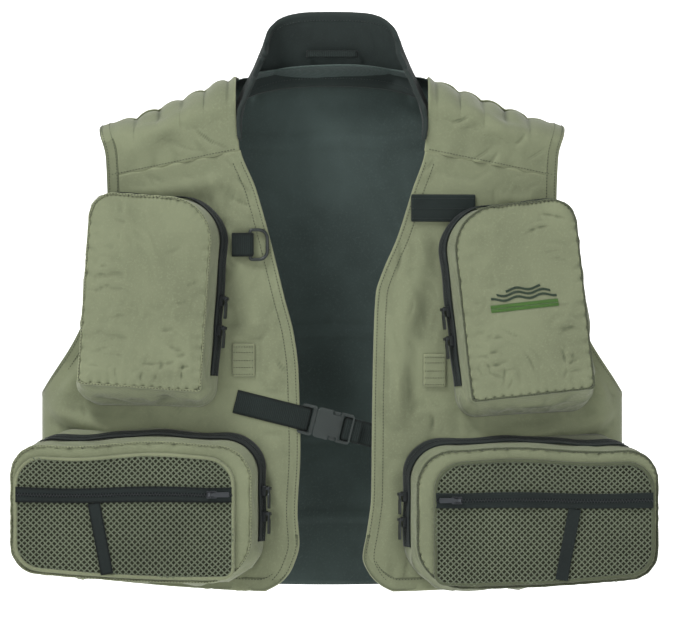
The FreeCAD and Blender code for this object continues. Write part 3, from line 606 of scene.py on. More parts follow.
FRONT_FOLDS = {
    -1: [((250, -395), (120, -470), 9, 3.5), ((300, -380), (200, -400), 8, 4.0),
         ((75, -250), (60, -420), 12, 2.5), ((95, -150), (75, -330), 10, 2.2),
         ((215, -150), (110, -135), 7, 2.0), ((240, -300), (285, -375), 9, 3.0),
         ((90, -400), (55, -545), 12, 3.0), ((60, -330), (48, -500), 7, 2.0),
         ((225, -165), (250, -290), 8, 2.2), ((130, -130), (100, -190), 7, 1.8)],
    1: [((300, -385), (190, -410), 8, 4.0), ((260, -390), (110, -415), 8, 3.0),
        ((75, -240), (60, -400), 11, 2.5), ((95, -190), (70, -300), 9, 2.2),
        ((230, -160), (105, -140), 7, 2.2), ((245, -290), (290, -380), 9, 3.0),
        ((85, -390), (50, -540), 12, 3.0), ((65, -320), (55, -480), 7, 2.2),
        ((225, -165), (250, -290), 8, 2.2), ((150, -150), (110, -200), 7, 2.0)],
}


def side_sign(normal, points):
    """+1 where the grid's normals face away from the torso's middle line, else -1."""
    away = points * np.array([0.35, 1.0, 0.0])
    return 1.0 if np.sum(normal * away) > 0 else -1.0


def raised(points, relief):
    """The points moved outwards by the relief, and the sign of their outward normals."""
    normal = grid_normals(points)
    outward = side_sign(normal, points)
    return points + normal * outward * relief[..., None], outward


def unit_grid(rows, cols, first=0):
    """Shares up the rows and across the columns of a grid."""
    return np.meshgrid(np.linspace(0, 1, rows), np.linspace(first, 1, cols), indexing="ij")


def edge_stitches(points, outward, edge, distances, skip):
    """Stitch rows along one edge of a grid, at distances from it."""
    normals = grid_normals(points) * outward
    paths = [inset_path(points, normals, distance, edge)[skip:-skip] for distance in distances]
    return [stitch_row(path[:, :3], path[:, 3:]) for path in paths]


def outer_hold(a, reach):
    """0 under the binding at the outer edge, 1 further in."""
    return np.clip(((1 - a) * reach - BINDING * 0.9) / 16.0, 0, 1)


FLAT_SPOTS = {
    -1: [(60, 114, -195, -218), (75, 112, -305, -350), (30, 120, -360, -405)],
    1: [(78, 170, -150, -188), (90, 126, -318, -360), (20, 90, -400, -430)],
}


def pressed(side, girth, z):
    """Near 0 under sewn-on pieces, 1 elsewhere."""
    keep = np.ones_like(girth)
    for x0, x1, z1, z0 in FLAT_SPOTS[side]:
        away = np.maximum(np.maximum(x0 - girth, girth - x1), np.maximum(z0 - z, z - z1))
        keep = keep * np.clip(away / 14.0, 0.0, 1.0)
    return keep


def front_panel(side, tag):
    """One front from the hem to the yoke seam, from its edge to the armhole or side seam."""
    b, a = unit_grid(170, 110)
    z = HEM_MID + (YOKE_SEAM_Z - HEM_MID) * b
    for _ in range(6):
        inner, outer = front_girth(side, z), armhole_girth(z)
        girth = inner + (outer - inner) * a
        x, _ = section(girth)
        z = hem_z(x) + (seam_z(x) - hem_z(x)) * b
    points = front_point(side, girth, z)
    relief = cloth_relief(girth, z, FRONT_FOLDS[side], 11 + side)
    seam = np.exp(-np.abs(z - seam_z(x)) / 9.0)
    relief = relief + seam * 0.9 * np.sin(girth / 5.2 + 2 * lattice_noise(girth / 30, z / 40, 3))
    hold = np.clip(a * 14, 0.25, 1) * outer_hold(a, outer - inner) * np.clip((1 - b) * 20, 0.2, 1)
    points, outward = raised(points, relief * hold * pressed(side, girth, z))
    piece = cloth_piece("front_cloth_" + tag, points, cloth_olive, outward=outward)
    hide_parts("front_panel_" + tag)
    return edge_stitches(points, outward, "first", (11.0, 2.5), 4)


def yoke(side, tag):
    """The shoulder yoke from its front seam up to the shoulder seam."""
    b, a = unit_grid(60, 80)
    z = np.full_like(a, -90.0)
    for _ in range(5):
        inner = girth_at(through([(-150, 92), (-98, 99), (-60, 102), (-20, 103)], z))
        outer = armhole_girth(np.minimum(z, -82))
        girth = inner + (outer - inner) * a
        x, _ = section(girth)
        points = column(girth, seam_z(x), b, 0.0)
        z = points[..., 2]
    relief = cloth_relief(girth, z, YOKE_FOLDS, 31 + side, 1.2)
    relief += 1.6 * b ** 4 * np.sin(girth / 13.0 + side) * lattice_noise(girth / 40, z * 0, 77)
    relief += np.exp(-b * 6) * 0.9 * np.sin(girth / 4.6 + 2 * lattice_noise(girth / 25, z / 40, 9))
    points[..., 0] *= side
    hold = np.clip(a * 12, 0.2, 1) * outer_hold(a, outer - inner)
    points, outward = raised(points, relief * hold)
    piece = cloth_piece("yoke_cloth_" + tag, points, cloth_olive, outward=outward)
    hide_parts("yoke_" + tag)
    return edge_stitches(points, outward, "bottom", (2.5,), 2)


YOKE_FOLDS = [((110, -60), (235, -120), 8, 1.6), ((120, -45), (200, -110), 7, 1.2),
              ((150, -90), (235, -90), 7, 1.4)]


def back_grid(inset, rise):
    """The back from the hem over the shoulder arch to the shoulder seams, lower behind the neck."""
    b, a = unit_grid(120, 170, first=-1)
    z = -560 + 500 * b
    for _ in range(6):
        outer = armhole_girth(np.minimum(z, -84))
        girth = a * outer
        x, _ = section(girth)
        points = column(girth, hem_z(x), b, inset, back=True)
        z = points[..., 2]
    share = np.ones(a.shape[1])
    for c in range(len(share)):
        seam = rise - 24.0 - 12.0 * min(abs(x[-1, c]) / 95.0, 1.0) ** 3
        reach = np.interp(seam, z[:, c], b[:, c])
        inside = np.clip((104 - abs(x[-1, c])) / 9, 0, 1)
        share[c] = 1 - inside + inside * reach
    return column(girth, hem_z(x), b * share, inset, back=True), girth, a


BACK_DIP = 1.4              # how far the back may dip, so that it stays off the lining


def back_panel():
    points, girth, a = back_grid(0.0, -4.0)
    relief = cloth_relief(girth, points[..., 2], BACK_FOLDS, 51, 2.0)
    relief = np.where(relief < 0, BACK_DIP * np.tanh(relief / BACK_DIP), relief)
    hold = outer_hold(np.abs(a), armhole_girth(points[..., 2]))
    points, outward = raised(points, relief * hold)
    piece = cloth_piece("back_cloth", points, cloth_olive, outward=outward)
    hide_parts("back_panel")


BACK_FOLDS = [((-200, -300), (-60, -480), 14, 3.0), ((180, -280), (90, -500), 14, 3.0),
              ((-120, -120), (120, -140), 12, 2.0), ((-40, -200), (-30, -520), 16, 2.5),
              ((-260, -400), (-120, -430), 12, 3.0), ((260, -390), (120, -420), 12, 3.0)]


def lining():
    """The dark back lining, seen through the front, with shallow cross creases."""
    points, girth, _ = back_grid(4.0, 11.0)
    z = points[..., 2]
    relief = 1.6 * crumple(girth, z, 80.0, 71)
    for height, depth in ((-93, 1.4), (-298, 1.8), (-412, 2.4), (-499, 2.0)):
        wave = height + 5 * lattice_noise(girth / 60, z * 0, 73) + 0.03 * np.abs(girth)
        relief = relief + depth * np.exp(-((z - wave) / 4.0) ** 2) * (0.6 + 0.4 * np.cos(girth / 90))
    points, outward = raised(points, -np.clip(relief, -1, 5))
    piece = cloth_piece("lining_cloth_back", points, cloth_lining, LINING, outward=outward)
    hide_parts("back_lining")


def facing(side, tag):
    """The strip of cloth inside the front's edge."""
    b, a = unit_grid(150, 12)
    z = HEM_MID + 6 + (-90 - HEM_MID) * b
    points = front_point(side, front_girth(side, z) + 1.0 + 27.0 * a, z, inset=CLOTH + 1.2)
    outward = side_sign(grid_normals(points), points)
    piece = cloth_piece("facing_cloth_" + tag, points, cloth_olive_shaded, LINING, outward=outward)
    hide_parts("front_facing_" + tag)


# ---- Bindings: a folded strip along an edge ----

def folded_strip(edge, inward, normal, half, cloth):
    """A strip of cloth folded over an edge, as closed loops swept along the edge path."""
    width = BINDING
    flat = [(width, half * 0.7), (width * 0.985, half * 0.97), (width * 0.95, half),
            (width * 0.8, half), (width * 0.5, half), (width * 0.15, half)]
    bend = [(-half * 0.8 * math.cos(t), half * math.sin(t))
            for t in (math.pi / 2 - math.pi * k / 6 for k in range(7))]
    outer = flat + bend + [(across, -up) for across, up in reversed(flat)]
    inner = [(across + cloth * (0.0 if across > width * 0.95 else 0.6) * (across < 0),
              up - cloth * (1 if up > 0 else -1) * min(abs(up) / half, 1)) for across, up in outer]
    loop = outer + inner[::-1]
    return np.stack([edge + inward * across + normal * up for across, up in loop], axis=1)


def swept(points, wrap_path=False):
    """Points and faces of a closed section swept along a path, from points as (path, section, 3)."""
    count, ring, _ = points.shape
    faces = [tuple(f) for f in grid_faces(count, ring, wrap=True)]
    if wrap_path:
        last = (count - 1) * ring
        faces += [(last + k, last + (k + 1) % ring, (k + 1) % ring, k) for k in range(ring)]
    else:
        faces.append(tuple(range(ring))[::-1])
        faces.append(tuple((count - 1) * ring + k for k in range(ring)))
    return points.reshape(-1, 3), faces


def squared_to(path, vectors):
    """The path's directions, and the vectors' unit parts square to them."""
    tangent = unit(np.gradient(path, axis=0))
    return tangent, unit(vectors - tangent * np.sum(vectors * tangent, axis=1, keepdims=True))


def rippled(path, normal, ripple, wavelength):
    """A binding's edge, 1 mm under the cloth's surface and slightly uneven."""
    return path + normal * (ripple * np.sin(np.arange(len(path)) / wavelength)[:, None] - 1.0)


def armhole_binding(side, tag):
    """The binding round the armhole, up the front, over the shoulder and down the back."""
    z_up = np.linspace(ARMPIT_Z, -84, 120)
    girth = armhole_girth(z_up)
    lines = []
    for step in (0.0, BINDING):
        front = front_point(side, girth - step, z_up)
        arc = []
        x = TIP_X + 1.0 - step
        depth, rise, spring = arch(x)
        start = math.acos(min(-front[-1][1] / depth, 1.0))
        for t in np.linspace(0, 1, 30)[1:-1]:
            turn = start + (math.pi - 2 * start) * t
            arc.append((side * x, -depth * math.cos(turn), max(spring + rise * math.sin(turn), -84)))
        back = front[::-1] * np.array([1, -1, 1])
        lines.append(np.vstack([front, np.array(arc), back]))
    both = eased(resampled(np.hstack(lines), 260), 4)
    path = both[:, :3]
    tangent, inward = squared_to(path, both[:, 3:] - path)
    normal = np.cross(tangent, inward)
    normal *= np.sign(np.sum(normal * path * np.array([0.25, 1.0, 0.3])))
    edge = rippled(path, normal, 0.1, 2.1)
    loop = folded_strip(edge, inward, normal, 1.45, cloth=0.5)
    piece = make_object("armhole_edge_" + tag, *swept(loop), cloth_binding)
    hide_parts("armhole_binding_" + tag)
    return merged([stitch_row(edge + inward * across + normal * 1.5, normal)
                   for across in (2.0, BINDING - 1.6)])


def hem_binding():
    """The hem from one front corner round the back to the other."""
    half = []
    for side in (-1, 1):
        girth = np.linspace(front_girth(side, np.array([HEM_MID + 1]))[0], GIRTH_SIDE, 110)
        x, y = section(girth)
        z = np.linspace(HEM_MID + 60, HEM_MID + 4, 26)
        edge = front_point(side, front_girth(side, z), z)
        half.append(np.vstack([edge, np.stack([side * x, y, hem_z(x)], axis=-1)]))
    girth = np.linspace(GIRTH_SIDE, -GIRTH_SIDE, 220)[1:-1]
    x, y = section(girth)
    back = np.stack([-x, -y, hem_z(x)], axis=-1)
    path = eased(resampled(np.vstack([half[0], back, half[1][::-1]]), 520), 3)
    tangent, normal = squared_to(path, path * np.array([0.25, 1.0, 0.0]))
    inward = np.cross(tangent, normal)
    inward *= np.sign(np.sum(inward[:, 2]))
    edge = rippled(path, normal, 0.12, 3.3) + inward * 1.2
    loop = folded_strip(edge, inward, normal, 1.6, cloth=0.6)
    piece = make_object("hem_edge", *swept(loop), cloth_binding)
    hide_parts("hem_binding")
    return stitch_row(edge + inward * (BINDING - 1.6) + normal * 1.7, normal)


def body():
    rows = []
    for side, tag in ((-1, "r"), (1, "l")):
        rows += front_panel(side, tag)
        rows += yoke(side, tag)
        facing(side, tag)
        rows.append(armhole_binding(side, tag))
    back_panel()
    lining()
    rows.append(hem_binding())
    stitches("body_stitches", rows, thread_olive)


# ---- Pockets ----

def place_of(side, out, up, tilt):
    """A pocket's origin with its inward and upward directions, as in the CAD model."""
    angle = math.radians(tilt)
    inward = np.array([-side * math.cos(angle), 0, -math.sin(angle)])
    upward = np.array([-side * math.sin(angle), 0, math.cos(angle)])
    return np.array([side * out, 0, up]), inward, upward


def round_outline(corners, arc=18, line=26):
    """Local (u, w) points round an outline of (u, w, radius) corners, equally many for any sizes."""
    count = len(corners)

    def corner(i):
        """A corner, its directions to both neighbours, half its angle and what its arc takes off."""
        here, before, after = (np.array(corners[k % count][:2]) for k in (i, i - 1, i + 1))
        before, after = before - here, after - here
        shortest = min(np.linalg.norm(before), np.linalg.norm(after))
        before, after = unit(before), unit(after)
        half = math.acos(np.clip(before @ after, -1, 1)) / 2
        return here, before, after, half, min(corners[i % count][2] / math.tan(half), 0.48 * shortest)

    points = []
    for i in range(count):
        here, before, after, half, cut = corner(i)
        r = cut * math.tan(half)
        centre = here + unit(before + after) * r / math.sin(half)
        first, last = (here + way * cut - centre for way in (before, after))
        t0, t1 = math.atan2(first[1], first[0]), math.atan2(last[1], last[0])
        turn = (t1 - t0 + math.pi) % (2 * math.pi) - math.pi
        for t in t0 + turn * np.arange(arc) / (arc - 1):
            points.append(centre + r * np.array([math.cos(t), math.sin(t)]))
        there, back, _, _, cut = corner(i + 1)
        start, end = points[-1], there + back * cut
        points += [start + (end - start) * k / line for k in range(1, line)]
    return np.array(points)


def outline_normals(flat):
    """Outward unit normals of a closed outline of (u, w) points."""
    after = np.roll(flat, -1, axis=0)
    tangent = unit(after - np.roll(flat, 1, axis=0))
    area = np.sum(flat[:, 0] * after[:, 1] - flat[:, 1] * after[:, 0])
    return np.stack([tangent[:, 1], -tangent[:, 0]], axis=1) * np.sign(area)


def lifted(points, place, y):
    """Local outline points placed in the torso's frame at a depth y (a number or one per point).

    A fourth value in the place slackens the pocket's outer part: its top waves and its bottom sags."""
    origin, inward, upward = place[:3]
    u, w = points[..., 0:1], points[..., 1:2]
    if len(place) > 3:
        fade = np.clip((118.0 - u) / 40.0, 0, 1)
        top = np.clip(w / 60.0, 0, 1)
        low = np.clip(-w / 60.0, 0, 1)
        w = w + place[3] * fade * top * (2.6 * np.sin(u / 27.0 + 0.7) - 1.0)
        w = w - fade * low * 3.2 * np.cos(np.clip((u - 10) / 110.0, -1, 1) * math.pi / 2)
    out = origin + u * inward + w * upward
    out[..., 1] = y
    return out


def surface_y(points, gap=0.0):
    """Depth of the torso's front under each point."""
    x, z = points[..., 0], points[..., 2]
    return front_point(1, girth_at(x), z)[..., 1] - gap


class Shell:
    """A pocket's cloth: rings from the vest's surface out to the face and over it."""

    def __init__(self, side, place, face, base, face_y, swell, crease, belly, zip_laps, seed):
        self.side, self.place, self.face_y = side, place, face_y
        self.belly, self.zip_laps = belly, zip_laps
        self.face, self.base = round_outline(face), round_outline(base)
        self.seed, self.swell, self.crease = seed, swell, crease
        half_u, half_w = np.abs(self.face).max(axis=0)
        self.face_creases = [
            made for k, number, area, angle, spread, length, height in (
                (31, 12, (0.45, 0.95, -0.8, 0.6), 185, 25, (14, 38), (0.5, 1.3)),
                (32, 14, (-1, -0.6, -0.9, 0.8), 0, 25, (14, 38), (0.5, 1.3)),
                (33, 10, (-0.8, 0.8, -1, -0.75), 90, 30, (12, 30), (0.5, 1.2)))
            for made in random_creases(seed + k, number, np.multiply(area, (half_u, half_u, half_w, half_w)),
                                       angle, spread, length, height)]

    def ring(self, share, slack=0.0):
        """The outline at a share of the way from base to face, pushed outwards by the slack."""
        flat = self.base + (self.face - self.base) * np.asarray(share, float).reshape(-1, 1)
        return flat + outline_normals(flat) * np.asarray(slack, float).reshape(-1, 1)

    def lap(self):
        """Distance along the face outline at each ring point."""
        steps = np.linalg.norm(np.roll(self.face, -1, axis=0) - self.face, axis=1)
        return np.concatenate([[0], np.cumsum(steps)[:-1]])

    def total_lap(self):
        return self.lap()[-1] + np.linalg.norm(self.face[0] - self.face[-1])

    def zipped(self):
        """1 along the zip and 0 away from it, at each ring point."""
        lap, total = self.lap(), self.total_lap()
        first, last = self.zip_laps
        centre, half = (first + last) / 2, (last - first) / 2
        away = np.abs((lap - centre + total / 2) % total - total / 2) - half
        return np.clip(1 - away / 12.0, 0, 1)

    def lower(self):
        """1 along the pocket's bottom and 0 elsewhere, at each ring point."""
        return np.clip(-self.face[:, 1] / np.abs(self.face[:, 1]).max() * 2 - 0.9, 0, 1)

    def foot_share(self):
        """Where each side point meets the vest's surface."""
        share = np.zeros(len(self.face))
        for _ in range(6):
            points = lifted(self.ring(share), self.place, 0.0)
            share = (surface_y(points, 0.2) - POCKET_BASE_Y) / (self.face_y - POCKET_BASE_Y)
        return share

    def depth_at(self, share):
        return POCKET_BASE_Y + (self.face_y - POCKET_BASE_Y) * share

    def rings(self):
        """Rings from the vest's surface, up the side and over the seam to the edge of the face."""
        lap, zipped, foot = self.lap(), self.zipped(), self.foot_share()
        made = []
        for up in np.linspace(0.0, 1.0, 18):
            share = foot + (0.96 - foot) * up
            hump = math.sin(math.pi * up)
            wave = np.sin(lap / 6.5 + 3 * lattice_noise(lap / 38, lap * 0 + up * 4, self.seed))
            slump = crumple(lap, 40.0 * up + 0 * lap, 26.0, self.seed + 41)
            belly = (1 - zipped) * hump * (self.belly + 1.0 * wave + (2.6 + 2.4 * self.lower()) * slump)
            belly = belly + zipped * 0.5 * (wave + slump) * (up > 0.6)
            points = lifted(self.ring(share, belly - 0.5), self.place, 0.0)
            points[:, 1] = self.depth_at(share)
            made.append(points)
        pucker = 0.6 * np.sin(lap / 2.4 + 4 * lattice_noise(lap / 22, lap * 0, self.seed + 1))
        seam_roll = ((0.4, 1.4), (1.0, 0.2), (0.9, -0.9), (0.2, -1.6), (-0.6, -1.7), (-1.2, -1.1),
                     (-1.5, 0.3))
        for slack, rise in seam_roll:
            points = lifted(self.ring(1.0, slack + 0.4 * pucker), self.place, self.face_y + rise)
            points[:, 1] += 0.25 * pucker * (slack < 0)
            made.append(points)
        return made

    def face_grid(self, rows=110, cols=90):
        """The front cloth: a grid fitted inside the outline, crowned, creased and puckered at its seam."""
        edge = self.ring(1.0, -1.6)
        low, high = edge[:, 1].argmin(), edge[:, 1].argmax()
        loop = np.roll(edge, -low, axis=0)
        top = (high - low) % len(edge)
        one, two = loop[:top + 1], np.vstack([loop[top:], loop[:1]])[::-1]
        left, right = (one, two) if one[:, 0].mean() < two[:, 0].mean() else (two, one)
        t = np.linspace(-0.985, 0.985, rows)
        w0, w1 = edge[low, 1], edge[high, 1]
        w = (w1 + w0) / 2 + (w1 - w0) / 2 * np.sin(t * math.pi / 2)
        u0 = np.interp(w, left[:, 1], left[:, 0])
        u1 = np.interp(w, right[:, 1], right[:, 0])
        s = np.linspace(-1, 1, cols)
        s = s + 0.25 * np.sin(s * math.pi) / math.pi
        u = (u0 + u1)[:, None] / 2 + (u1 - u0)[:, None] / 2 * s[None, :]
        flat = np.stack([u, np.repeat(w[:, None], cols, axis=1)], axis=-1)
        inside = np.min(np.linalg.norm(flat[:, :, None, :] - edge[None, None, ::2, :], axis=3), axis=2)
        depth = np.clip(inside / 60.0, 0, 1)
        sag = 1 - 0.35 * flat[..., 1] / np.abs(edge[:, 1]).max()
        crown = self.swell * (1 - (1 - depth) ** 2.2) * sag
        soft = self.crease * crumple(flat[..., 0] + 300, flat[..., 1] * 0.8 + 300, 44.0, self.seed + 7)
        for start, end, width, height in self.face_creases:
            soft = soft + crease(flat[..., 0], flat[..., 1], start, end, width, height * min(self.crease, 1))
        turn = np.arctan2(flat[..., 1], flat[..., 0]) * 60
        pucker = 3 * lattice_noise(turn / 26, turn * 0, self.seed + 3)
        pucker = 0.7 * np.exp(-inside / 6.0) * np.sin(turn / 4.1 + pucker)
        tuck = 1.9 * np.exp(-inside / 0.9)
        points = lifted(flat.reshape(-1, 2), self.place, 0.0).reshape(rows, cols, 3)
        points[..., 1] = self.face_y - 0.9 - crown - soft * np.clip(inside / 14.0, 0, 1) + pucker + tuck
        return points


def open_tub(name, shell):
    """A pocket's side cloth as a closed thin band from the vest to the face's seam."""
    outer = np.stack(shell.rings())
    across = np.roll(outer, -1, axis=1) - np.roll(outer, 1, axis=1)
    normal = unit(np.cross(across, np.gradient(outer, axis=0)))
    hub = outer.mean(axis=(0, 1)) + np.array([0, 25.0, 0])
    normal *= np.sign(np.sum(normal[:10] * (outer - hub)[:10]))
    inner = outer - normal * POCKET_CLOTH
    loop = np.concatenate([outer, inner[::-1]], axis=0).transpose(1, 0, 2)
    return make_object(name, *swept(loop, wrap_path=True), cloth_olive)


def pocket(shell, kind, tag):
    """A pocket's side and face cloth."""
    side_name = kind + "_side_" + tag
    side_cloth = open_tub(side_name, shell)
    points = shell.face_grid()
    outward = side_sign(grid_normals(points), points)
    face = cloth_piece(kind + "_cloth_" + tag, points, cloth_olive, 1.3, outward)
    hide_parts(kind + "_pocket_" + tag)


def chest_shell(side):
    u, w, g = CHEST_W / 2, CHEST_H / 2, CHEST_GUSSET
    face = [(u, w, 45.0), (u, -w, 5.0), (-u, -w, 4.0), (-u, w, 26.0)]
    base = [(u + g, w, 45.0), (u + g, -w - g, 24.0), (-u, -w - g, 22.0), (-u, w, 26.0)]
    place = place_of(side, *CHEST_PLACE[side], CHEST_TILT[side])
    return Shell(side, place, face, base, CHEST_FACE_Y, 3.5, 2.0, 2.4, CHEST_ZIP_LAPS, 100 + side)


def cargo_shell(side):
    u, w, g = CARGO_W / 2, CARGO_H / 2, CARGO_GUSSET
    face = [(u, w, 40.0), (u, -w - 3, 45.0), (-u, -w + 8, 30.0), (-u, w, 34.0)]
    base = [(u + g, w + g - 4, 40.0), (u + g, -w - 3, 45.0), (-u + 24, -w + 8, 26.0),
            (-u + 24, w + g - 4, 34.0)]
    place = place_of(side, *CARGO_PLACE[side], 0.0) + (1.0 if side < 0 else 0.8,)
    return Shell(side, place, face, base, CARGO_FACE_Y, 0.2, 0.5, 2.6, CARGO_ZIP_LAPS, 200 + side)


TAPE_STEP, TAPE_THICK = 1.6, 0.9
COIL_PITCH, COIL_WIDTH, COIL_HEIGHT = 1.5, 2.0, 1.3

# Where the zips start and end, round each face's outline, and where each pocket sits: out and up.
CHEST_ZIP_LAPS = (-62.0, 208.0)
CARGO_ZIP_LAPS = (-190.0, 126.0)
CHEST_PLACE = {-1: (HALF_WIDTH - 115.0, -256.0), 1: (HALF_WIDTH - 110.0, -264.0)}
CARGO_PLACE = {-1: (HALF_WIDTH - 100.0, -485.0), 1: (HALF_WIDTH - 95.0, -491.0)}


def band_on(shell, y, width, lift):
    """A band of points along the zipped part of a pocket's side, at a depth, nine across."""
    lap, total = shell.lap(), shell.total_lap()
    first, last = shell.zip_laps
    at = np.linspace(first, last, int((last - first) / TAPE_STEP)) % total
    rows = []
    for offset in np.linspace(-0.5, 0.5, 9):
        depth = y + offset * width
        share = (depth - POCKET_BASE_Y) / (shell.face_y - POCKET_BASE_Y)
        flat = shell.ring(share, lift)
        flat = np.vstack([flat, flat[:1]])
        reach = np.append(lap, total)
        local = np.stack([np.interp(at, reach, flat[:, k]) for k in range(2)], axis=1)
        rows.append(lifted(local, shell.place, depth))
    return np.stack(rows, axis=1)


def tape_strip(band, normal):
    """A thin woven strip with a raised cord at both long edges."""
    share = np.linspace(-1, 1, band.shape[1])
    lip = 0.5 * np.exp(-((np.abs(share) - 0.9) / 0.12) ** 2)
    top = band + normal * lip[None, :, None]
    return swept(np.concatenate([top, (band - normal * TAPE_THICK)[:, ::-1]], axis=1))


def coil(path, normal):
    """A zip's coil: small crossed threads side by side along the middle of the tape."""
    count = max(int(path_length(path) / COIL_PITCH), 2)
    dense = resampled(np.hstack([path, normal]), count + 1)
    parts = []
    for k in range(count):
        a, b = dense[k], dense[k + 1]
        up = unit(a[3:])
        aside = np.cross(unit(b[:3] - a[:3]), up) * (-1 if k % 2 else 1)
        centre = (a[:3] + b[:3]) / 2 + up * 0.15
        start, end = centre - aside * COIL_WIDTH * 0.9, centre + aside * COIL_WIDTH * 0.35
        lift = up * COIL_HEIGHT * 0.45
        parts.append(capsule(start, end + lift, COIL_PITCH * 0.40, up))
        parts.append(capsule(start + lift, end, COIL_PITCH * 0.34, up))
    return merged(parts)


def tape(name, band, normal, with_coil=True):
    """A woven tape along a band nine points across; a zip's is in two halves with its coil between."""
    halves = [(band[:, :5], normal[:, :5]), (band[:, 4:], normal[:, 4:])] if with_coil else [(band, normal)]
    piece = make_object(name + "_tape", *merged([tape_strip(*half) for half in halves]), cloth_tape)
    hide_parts(name)
    if with_coil:
        teeth = make_object(name + "_coil", *coil(band[:, 4], normal[:, 4]), coil_plastic)


def zip_on(shell, name, y, width):
    """A pocket's zip, standing a little off its side and slightly wavy."""
    band = band_on(shell, y, width, 1.4)
    normal = unit(np.cross(np.gradient(band, axis=0), np.gradient(band, axis=1)))
    if np.sum(normal * (band - band.mean(axis=(0, 1)))) < 0:
        normal = -normal
    band = band + 0.5 * np.sin(np.arange(len(band)) / 5.5)[:, None, None] * normal
    tape(name, band, normal)


# ---- Mesh fronts of the cargo pockets ----

def net(shell, corners, side):
    """Knitted net: rounded strands round a staggered lattice of holes, over the pocket's face."""
    pitch_u, pitch_w, strand = 6.2, 6.0, 0.62
    outline = round_outline(corners, arc=10, line=14)
    low, high = outline.min(axis=0), outline.max(axis=0)
    cols = int((high[0] - low[0]) / pitch_u) + 3
    rows = int((high[1] - low[1]) / (pitch_w / 2)) + 4
    offsets = np.random.RandomState(400 + side).uniform(-0.22, 0.22, (rows, cols, 2))

    def node(r, c):
        u = low[0] + (c + 0.5 * (r % 2)) * pitch_u
        return np.array([u, low[1] + r * pitch_w / 2]) + offsets[r % rows, c % cols]

    strands = [(node(r, c), node(r + 1, other)) for r in range(rows - 1) for c in range(cols - 1)
               for other in (c - 1 + r % 2, c + r % 2) if other >= 0]
    ends = np.array(strands)
    ends = ends[inside_outline(ends.mean(axis=1), outline)]
    points = lifted(ends, shell.place, net_y(shell, ends))
    return strand_mesh(points[:, 0], points[:, 1], strand)


def inside_outline(points, outline):
    """Which points lie inside a closed outline."""
    x, y = points[:, 0], points[:, 1]
    inside = np.zeros(len(points), bool)
    x0, y0 = outline[-1]
    for x1, y1 in outline:
        cross = ((y1 > y) != (y0 > y)) & (x < (x0 - x1) * (y - y1) / (y0 - y1 + 1e-12) + x1)
        inside ^= cross
        x0, y0 = x1, y1
    return inside


def net_y(shell, local):
    """Depth of the net over the face, following a gentle sag."""
    u, w = local[..., 0], local[..., 1]
    return shell.face_y - 4.6 - 1.3 * lattice_noise((u + 300) / 34, (w + 300) / 26, shell.seed + 21)


def strand_mesh(starts, ends, radius, sides=5):
    """Many short strands at once, thicker at their ends where they knot."""
    along = unit(ends - starts)
    side = unit(np.cross(along, np.array([0.0, -1.0, 0.0])))
    up = np.cross(side, along)
    points = []
    for share, size in ((-0.06, 1.25), (0.25, 0.9), (0.75, 0.9), (1.06, 1.25)):
        centre = starts + (ends - starts) * share
        for k in range(sides):
            t = 2 * math.pi * k / sides
            points.append(centre + radius * size * (math.cos(t) * side * 1.25 + math.sin(t) * up * 0.7))
    offsets = (np.arange(len(starts)) * 4 * sides)[:, None, None]
    faces = (grid_faces(4, sides, wrap=True)[None] + offsets).reshape(-1, 4)
    return np.stack(points, axis=1).reshape(-1, 3), faces


def pocket_seam(shell):
    """A stitch row round the face's edge."""
    ring = shell.ring(1.0, -0.2)
    path = lifted(np.vstack([ring, ring[:1]]), shell.place, shell.face_y - 1.65)
    return stitch_row(path, np.tile(np.array([0.0, -1.0, 0.0]), (len(path), 1)))


def chest(side, tag):
    shell = chest_shell(side)
    pocket(shell, "chest", tag)
    zip_on(shell, "chest_zip_" + tag, -66.0, 15.0)
    return pocket_seam(shell)


def cargo(side, tag):
    shell = cargo_shell(side)
    pocket(shell, "cargo", tag)
    zip_on(shell, "cargo_zip_" + tag, -69.0, 17.0)
    u0, u1 = -CARGO_W / 2 + 5.0, CARGO_W / 2 - 19.0
    w0, w1 = -CARGO_H / 2 + 3.0, CARGO_H / 2 - 13.0
    corners = [(u1, w1, 30.0), (u1, w0 - 1, 10.0), (u0, w0 + 9, 27.0), (u0, w1, 30.0)]
    strands = net(shell, corners, side)
    shade_sheet_behind_net(shell, corners, tag)
    piece = make_object("net_" + tag, *strands, net_strand)
    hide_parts("cargo_mesh_" + tag)
    edge_binding(shell, corners, tag)
    face_tape(shell, "mesh_zip_" + tag, (u0, 18.0), (u1, 18.0), 16.0, True)
    middle = (u0 + u1) / 2 - 0.28 * (u1 - u0) / 2
    face_tape(shell, "divider_tape_" + tag, (middle, 9.8), (middle + 14, w0 + 6), 13.0, False)
    return pocket_seam(shell)


def shade_sheet_behind_net(shell, corners, tag):
    """A dark sheet close behind the net: painted shade of the pocket's inside, in darkened olive."""
    outline = round_outline(corners, arc=14, line=30)
    rings = []
    for scale in np.linspace(1.0, 0.02, 24):
        flat = outline.mean(axis=0) + (outline - outline.mean(axis=0)) * scale
        rings.append(lifted(flat, shell.place, net_y(shell, flat) + 2.0))
    grid = np.stack(rings)
    count, size, _ = grid.shape
    back = grid + np.array([0, 0.8, 0])
    faces = [tuple(f) for f in grid_faces(count, size, 0, wrap=True)]
    faces += [tuple(f) for f in grid_faces(count, size, count * size, flip=True, wrap=True)]
    last = (count - 1) * size
    for k in range(size):
        n = (k + 1) % size
        faces.append((n, k, k + count * size, n + count * size))
    faces.append(tuple(last + k for k in range(size)))
    faces.append(tuple(last + count * size + k for k in range(size))[::-1])
    piece = make_object("net_lining_" + tag, np.vstack([grid.reshape(-1, 3), back.reshape(-1, 3)]), faces,
                        cloth_net_shade)
    fix_normals(piece.data)


